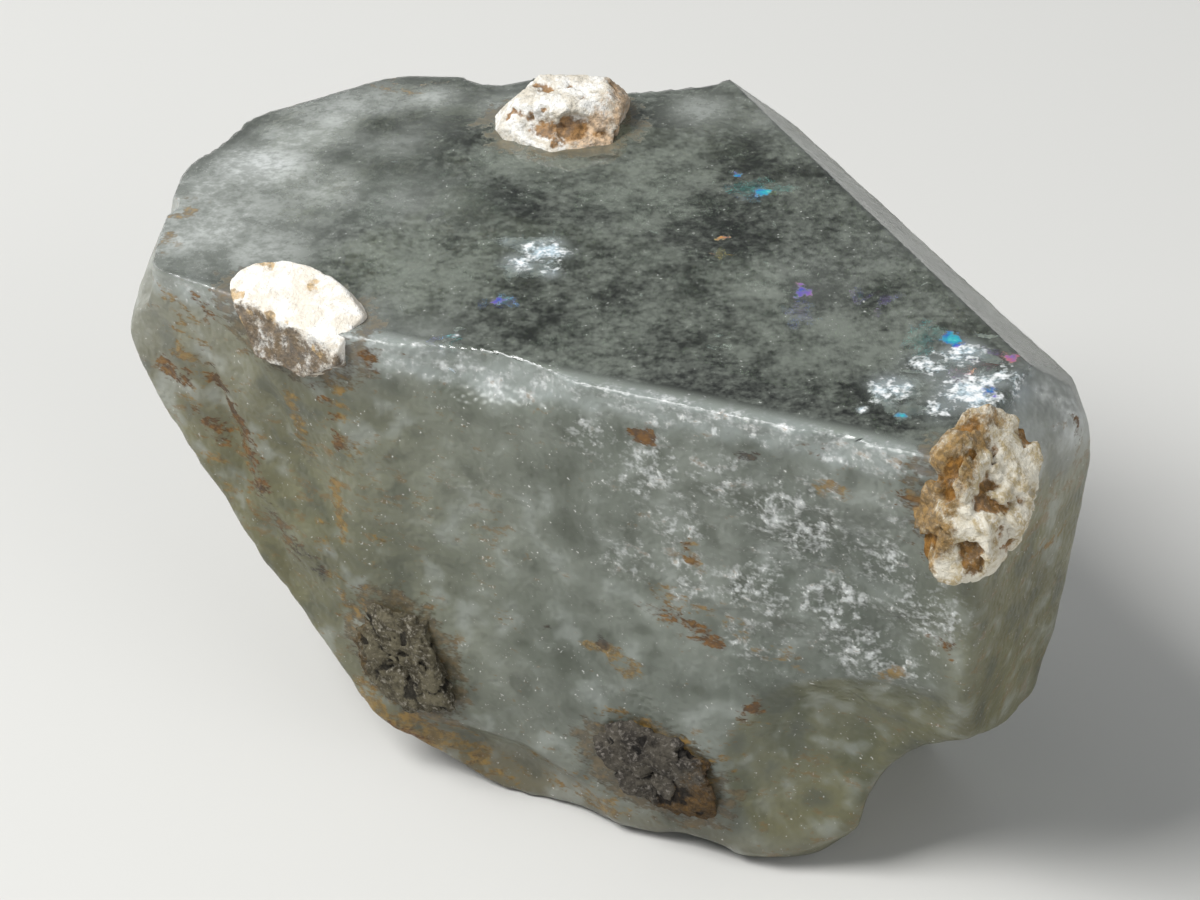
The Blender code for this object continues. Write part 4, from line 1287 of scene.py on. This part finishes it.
def flaw_finish():
    """White, flaky and patchy, as the air in an open cleavage looks."""
    f = Finish("flaw")
    flake = f.noise(0.5, 4.0, 0.65, 0.8)
    body = f.blend(f.band(flake, 0.35, 0.65), tone((190, 204, 210)), tone((248, 250, 248)))
    there = f.plus(f.times(flake, 0.9), f.times(f.weight("fade"), 0.5))
    alpha = f.times(f.band(there, 0.42, 0.66), f.band(f.weight("tone"), 0.0, 1.0, 0.55, 1.0))
    f.set(Base_Color=body, Roughness=0.35, Alpha=alpha)
    return f.material


def iris_finish():
    """A thin fracture that shows a band of rainbow colours."""
    f = Finish("iris")
    drift = f.plus(f.weight("tone"), f.times(f.plus(f.noise(1.2, 2.0), -0.5), 0.7))
    there = f.plus(f.noise(0.7, 4.0, 0.65), f.times(f.weight("fade"), 0.5))
    f.set(Base_Color=f.rainbow(drift), Roughness=0.25, Metallic=0.35,
          Alpha=f.times(f.band(there, 0.55, 0.80), 0.85))
    return f.material


def veil_finish():
    """Wispy sheets of tiny bubbles."""
    f = Finish("veil")
    wisp = f.noise(2.2, 5.0, 0.68, 0.3)
    dust = f.band(f.noise(0.28, 2.0, 0.6), 0.50, 0.68)
    there = f.times(f.band(wisp, 0.42, 0.74), f.band(f.weight("fade"), 0.0, 0.5))
    alpha = f.times(there, f.plus(0.20, f.times(dust, 0.45)))
    f.set(Base_Color=tone((188, 198, 190)), Roughness=0.6, Alpha=alpha)
    return f.material


def studio():
    """Pale floor, soft lights and the camera of the photograph."""
    bm = bmesh.new()
    bmesh.ops.create_grid(bm, x_segments=1, y_segments=1, size=FLOOR_HALF)
    mesh = bpy.data.meshes.new("floor")
    bm.to_mesh(mesh)
    bm.free()
    floor = bpy.data.objects.new("floor", mesh)
    bpy.context.scene.collection.objects.link(floor)
    paper = Finish("paper")
    paper.set(Base_Color=tone(FLOOR_TONE), Roughness=0.8)
    floor.data.materials.append(paper.material)
    floor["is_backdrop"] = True

    aim = Vector(in_frame(AIM))
    for name, place, size, power in LIGHTS:
        light = bpy.data.lights.new(name, "AREA")
        light.energy = power
        light.size = size
        lamp = bpy.data.objects.new(name, light)
        lamp.location = aim + Vector(place)
        lamp.rotation_euler = (-Vector(place)).to_track_quat("-Z", "Y").to_euler()
        bpy.context.scene.collection.objects.link(lamp)
    world = bpy.data.worlds.new("studio")
    bpy.context.scene.world = world
    world.use_nodes = True
    world.node_tree.nodes["Background"].inputs["Color"].default_value = SKY
    world.node_tree.nodes["Background"].inputs["Strength"].default_value = SKY_STRENGTH
    bpy.context.scene.view_settings.view_transform = "Standard"
    paths = bpy.context.scene.cycles     # just enough bounces for the clear crystal
    paths.use_light_tree = False
    paths.max_bounces = 3
    paths.transmission_bounces = 3
    paths.glossy_bounces = 3
    paths.diffuse_bounces = 1
    paths.transparent_max_bounces = 8

    lens = bpy.data.cameras.new("camera")
    lens.sensor_width = SENSOR
    lens.lens = FOCAL_PIXELS / PHOTO_WIDTH * SENSOR
    lens.clip_start = 0.01
    lens.clip_end = 10.0
    camera = bpy.data.objects.new("camera", lens)
    rise = math.radians(VIEW_RISE)
    look = Vector((0.0, math.cos(rise), -math.sin(rise)))
    camera.location = aim - look * VIEW_DISTANCE * MM
    camera.rotation_euler = look.to_track_quat("-Z", "Y").to_euler()
    bpy.context.scene.collection.objects.link(camera)
    bpy.context.scene.camera = camera


crystal()
for name in REMNANTS:
    remnant(name)
white_flaws()
iris_flaws()
veils()
studio()
[[list(corner) for corner in box] for box in (cad_box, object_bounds())]
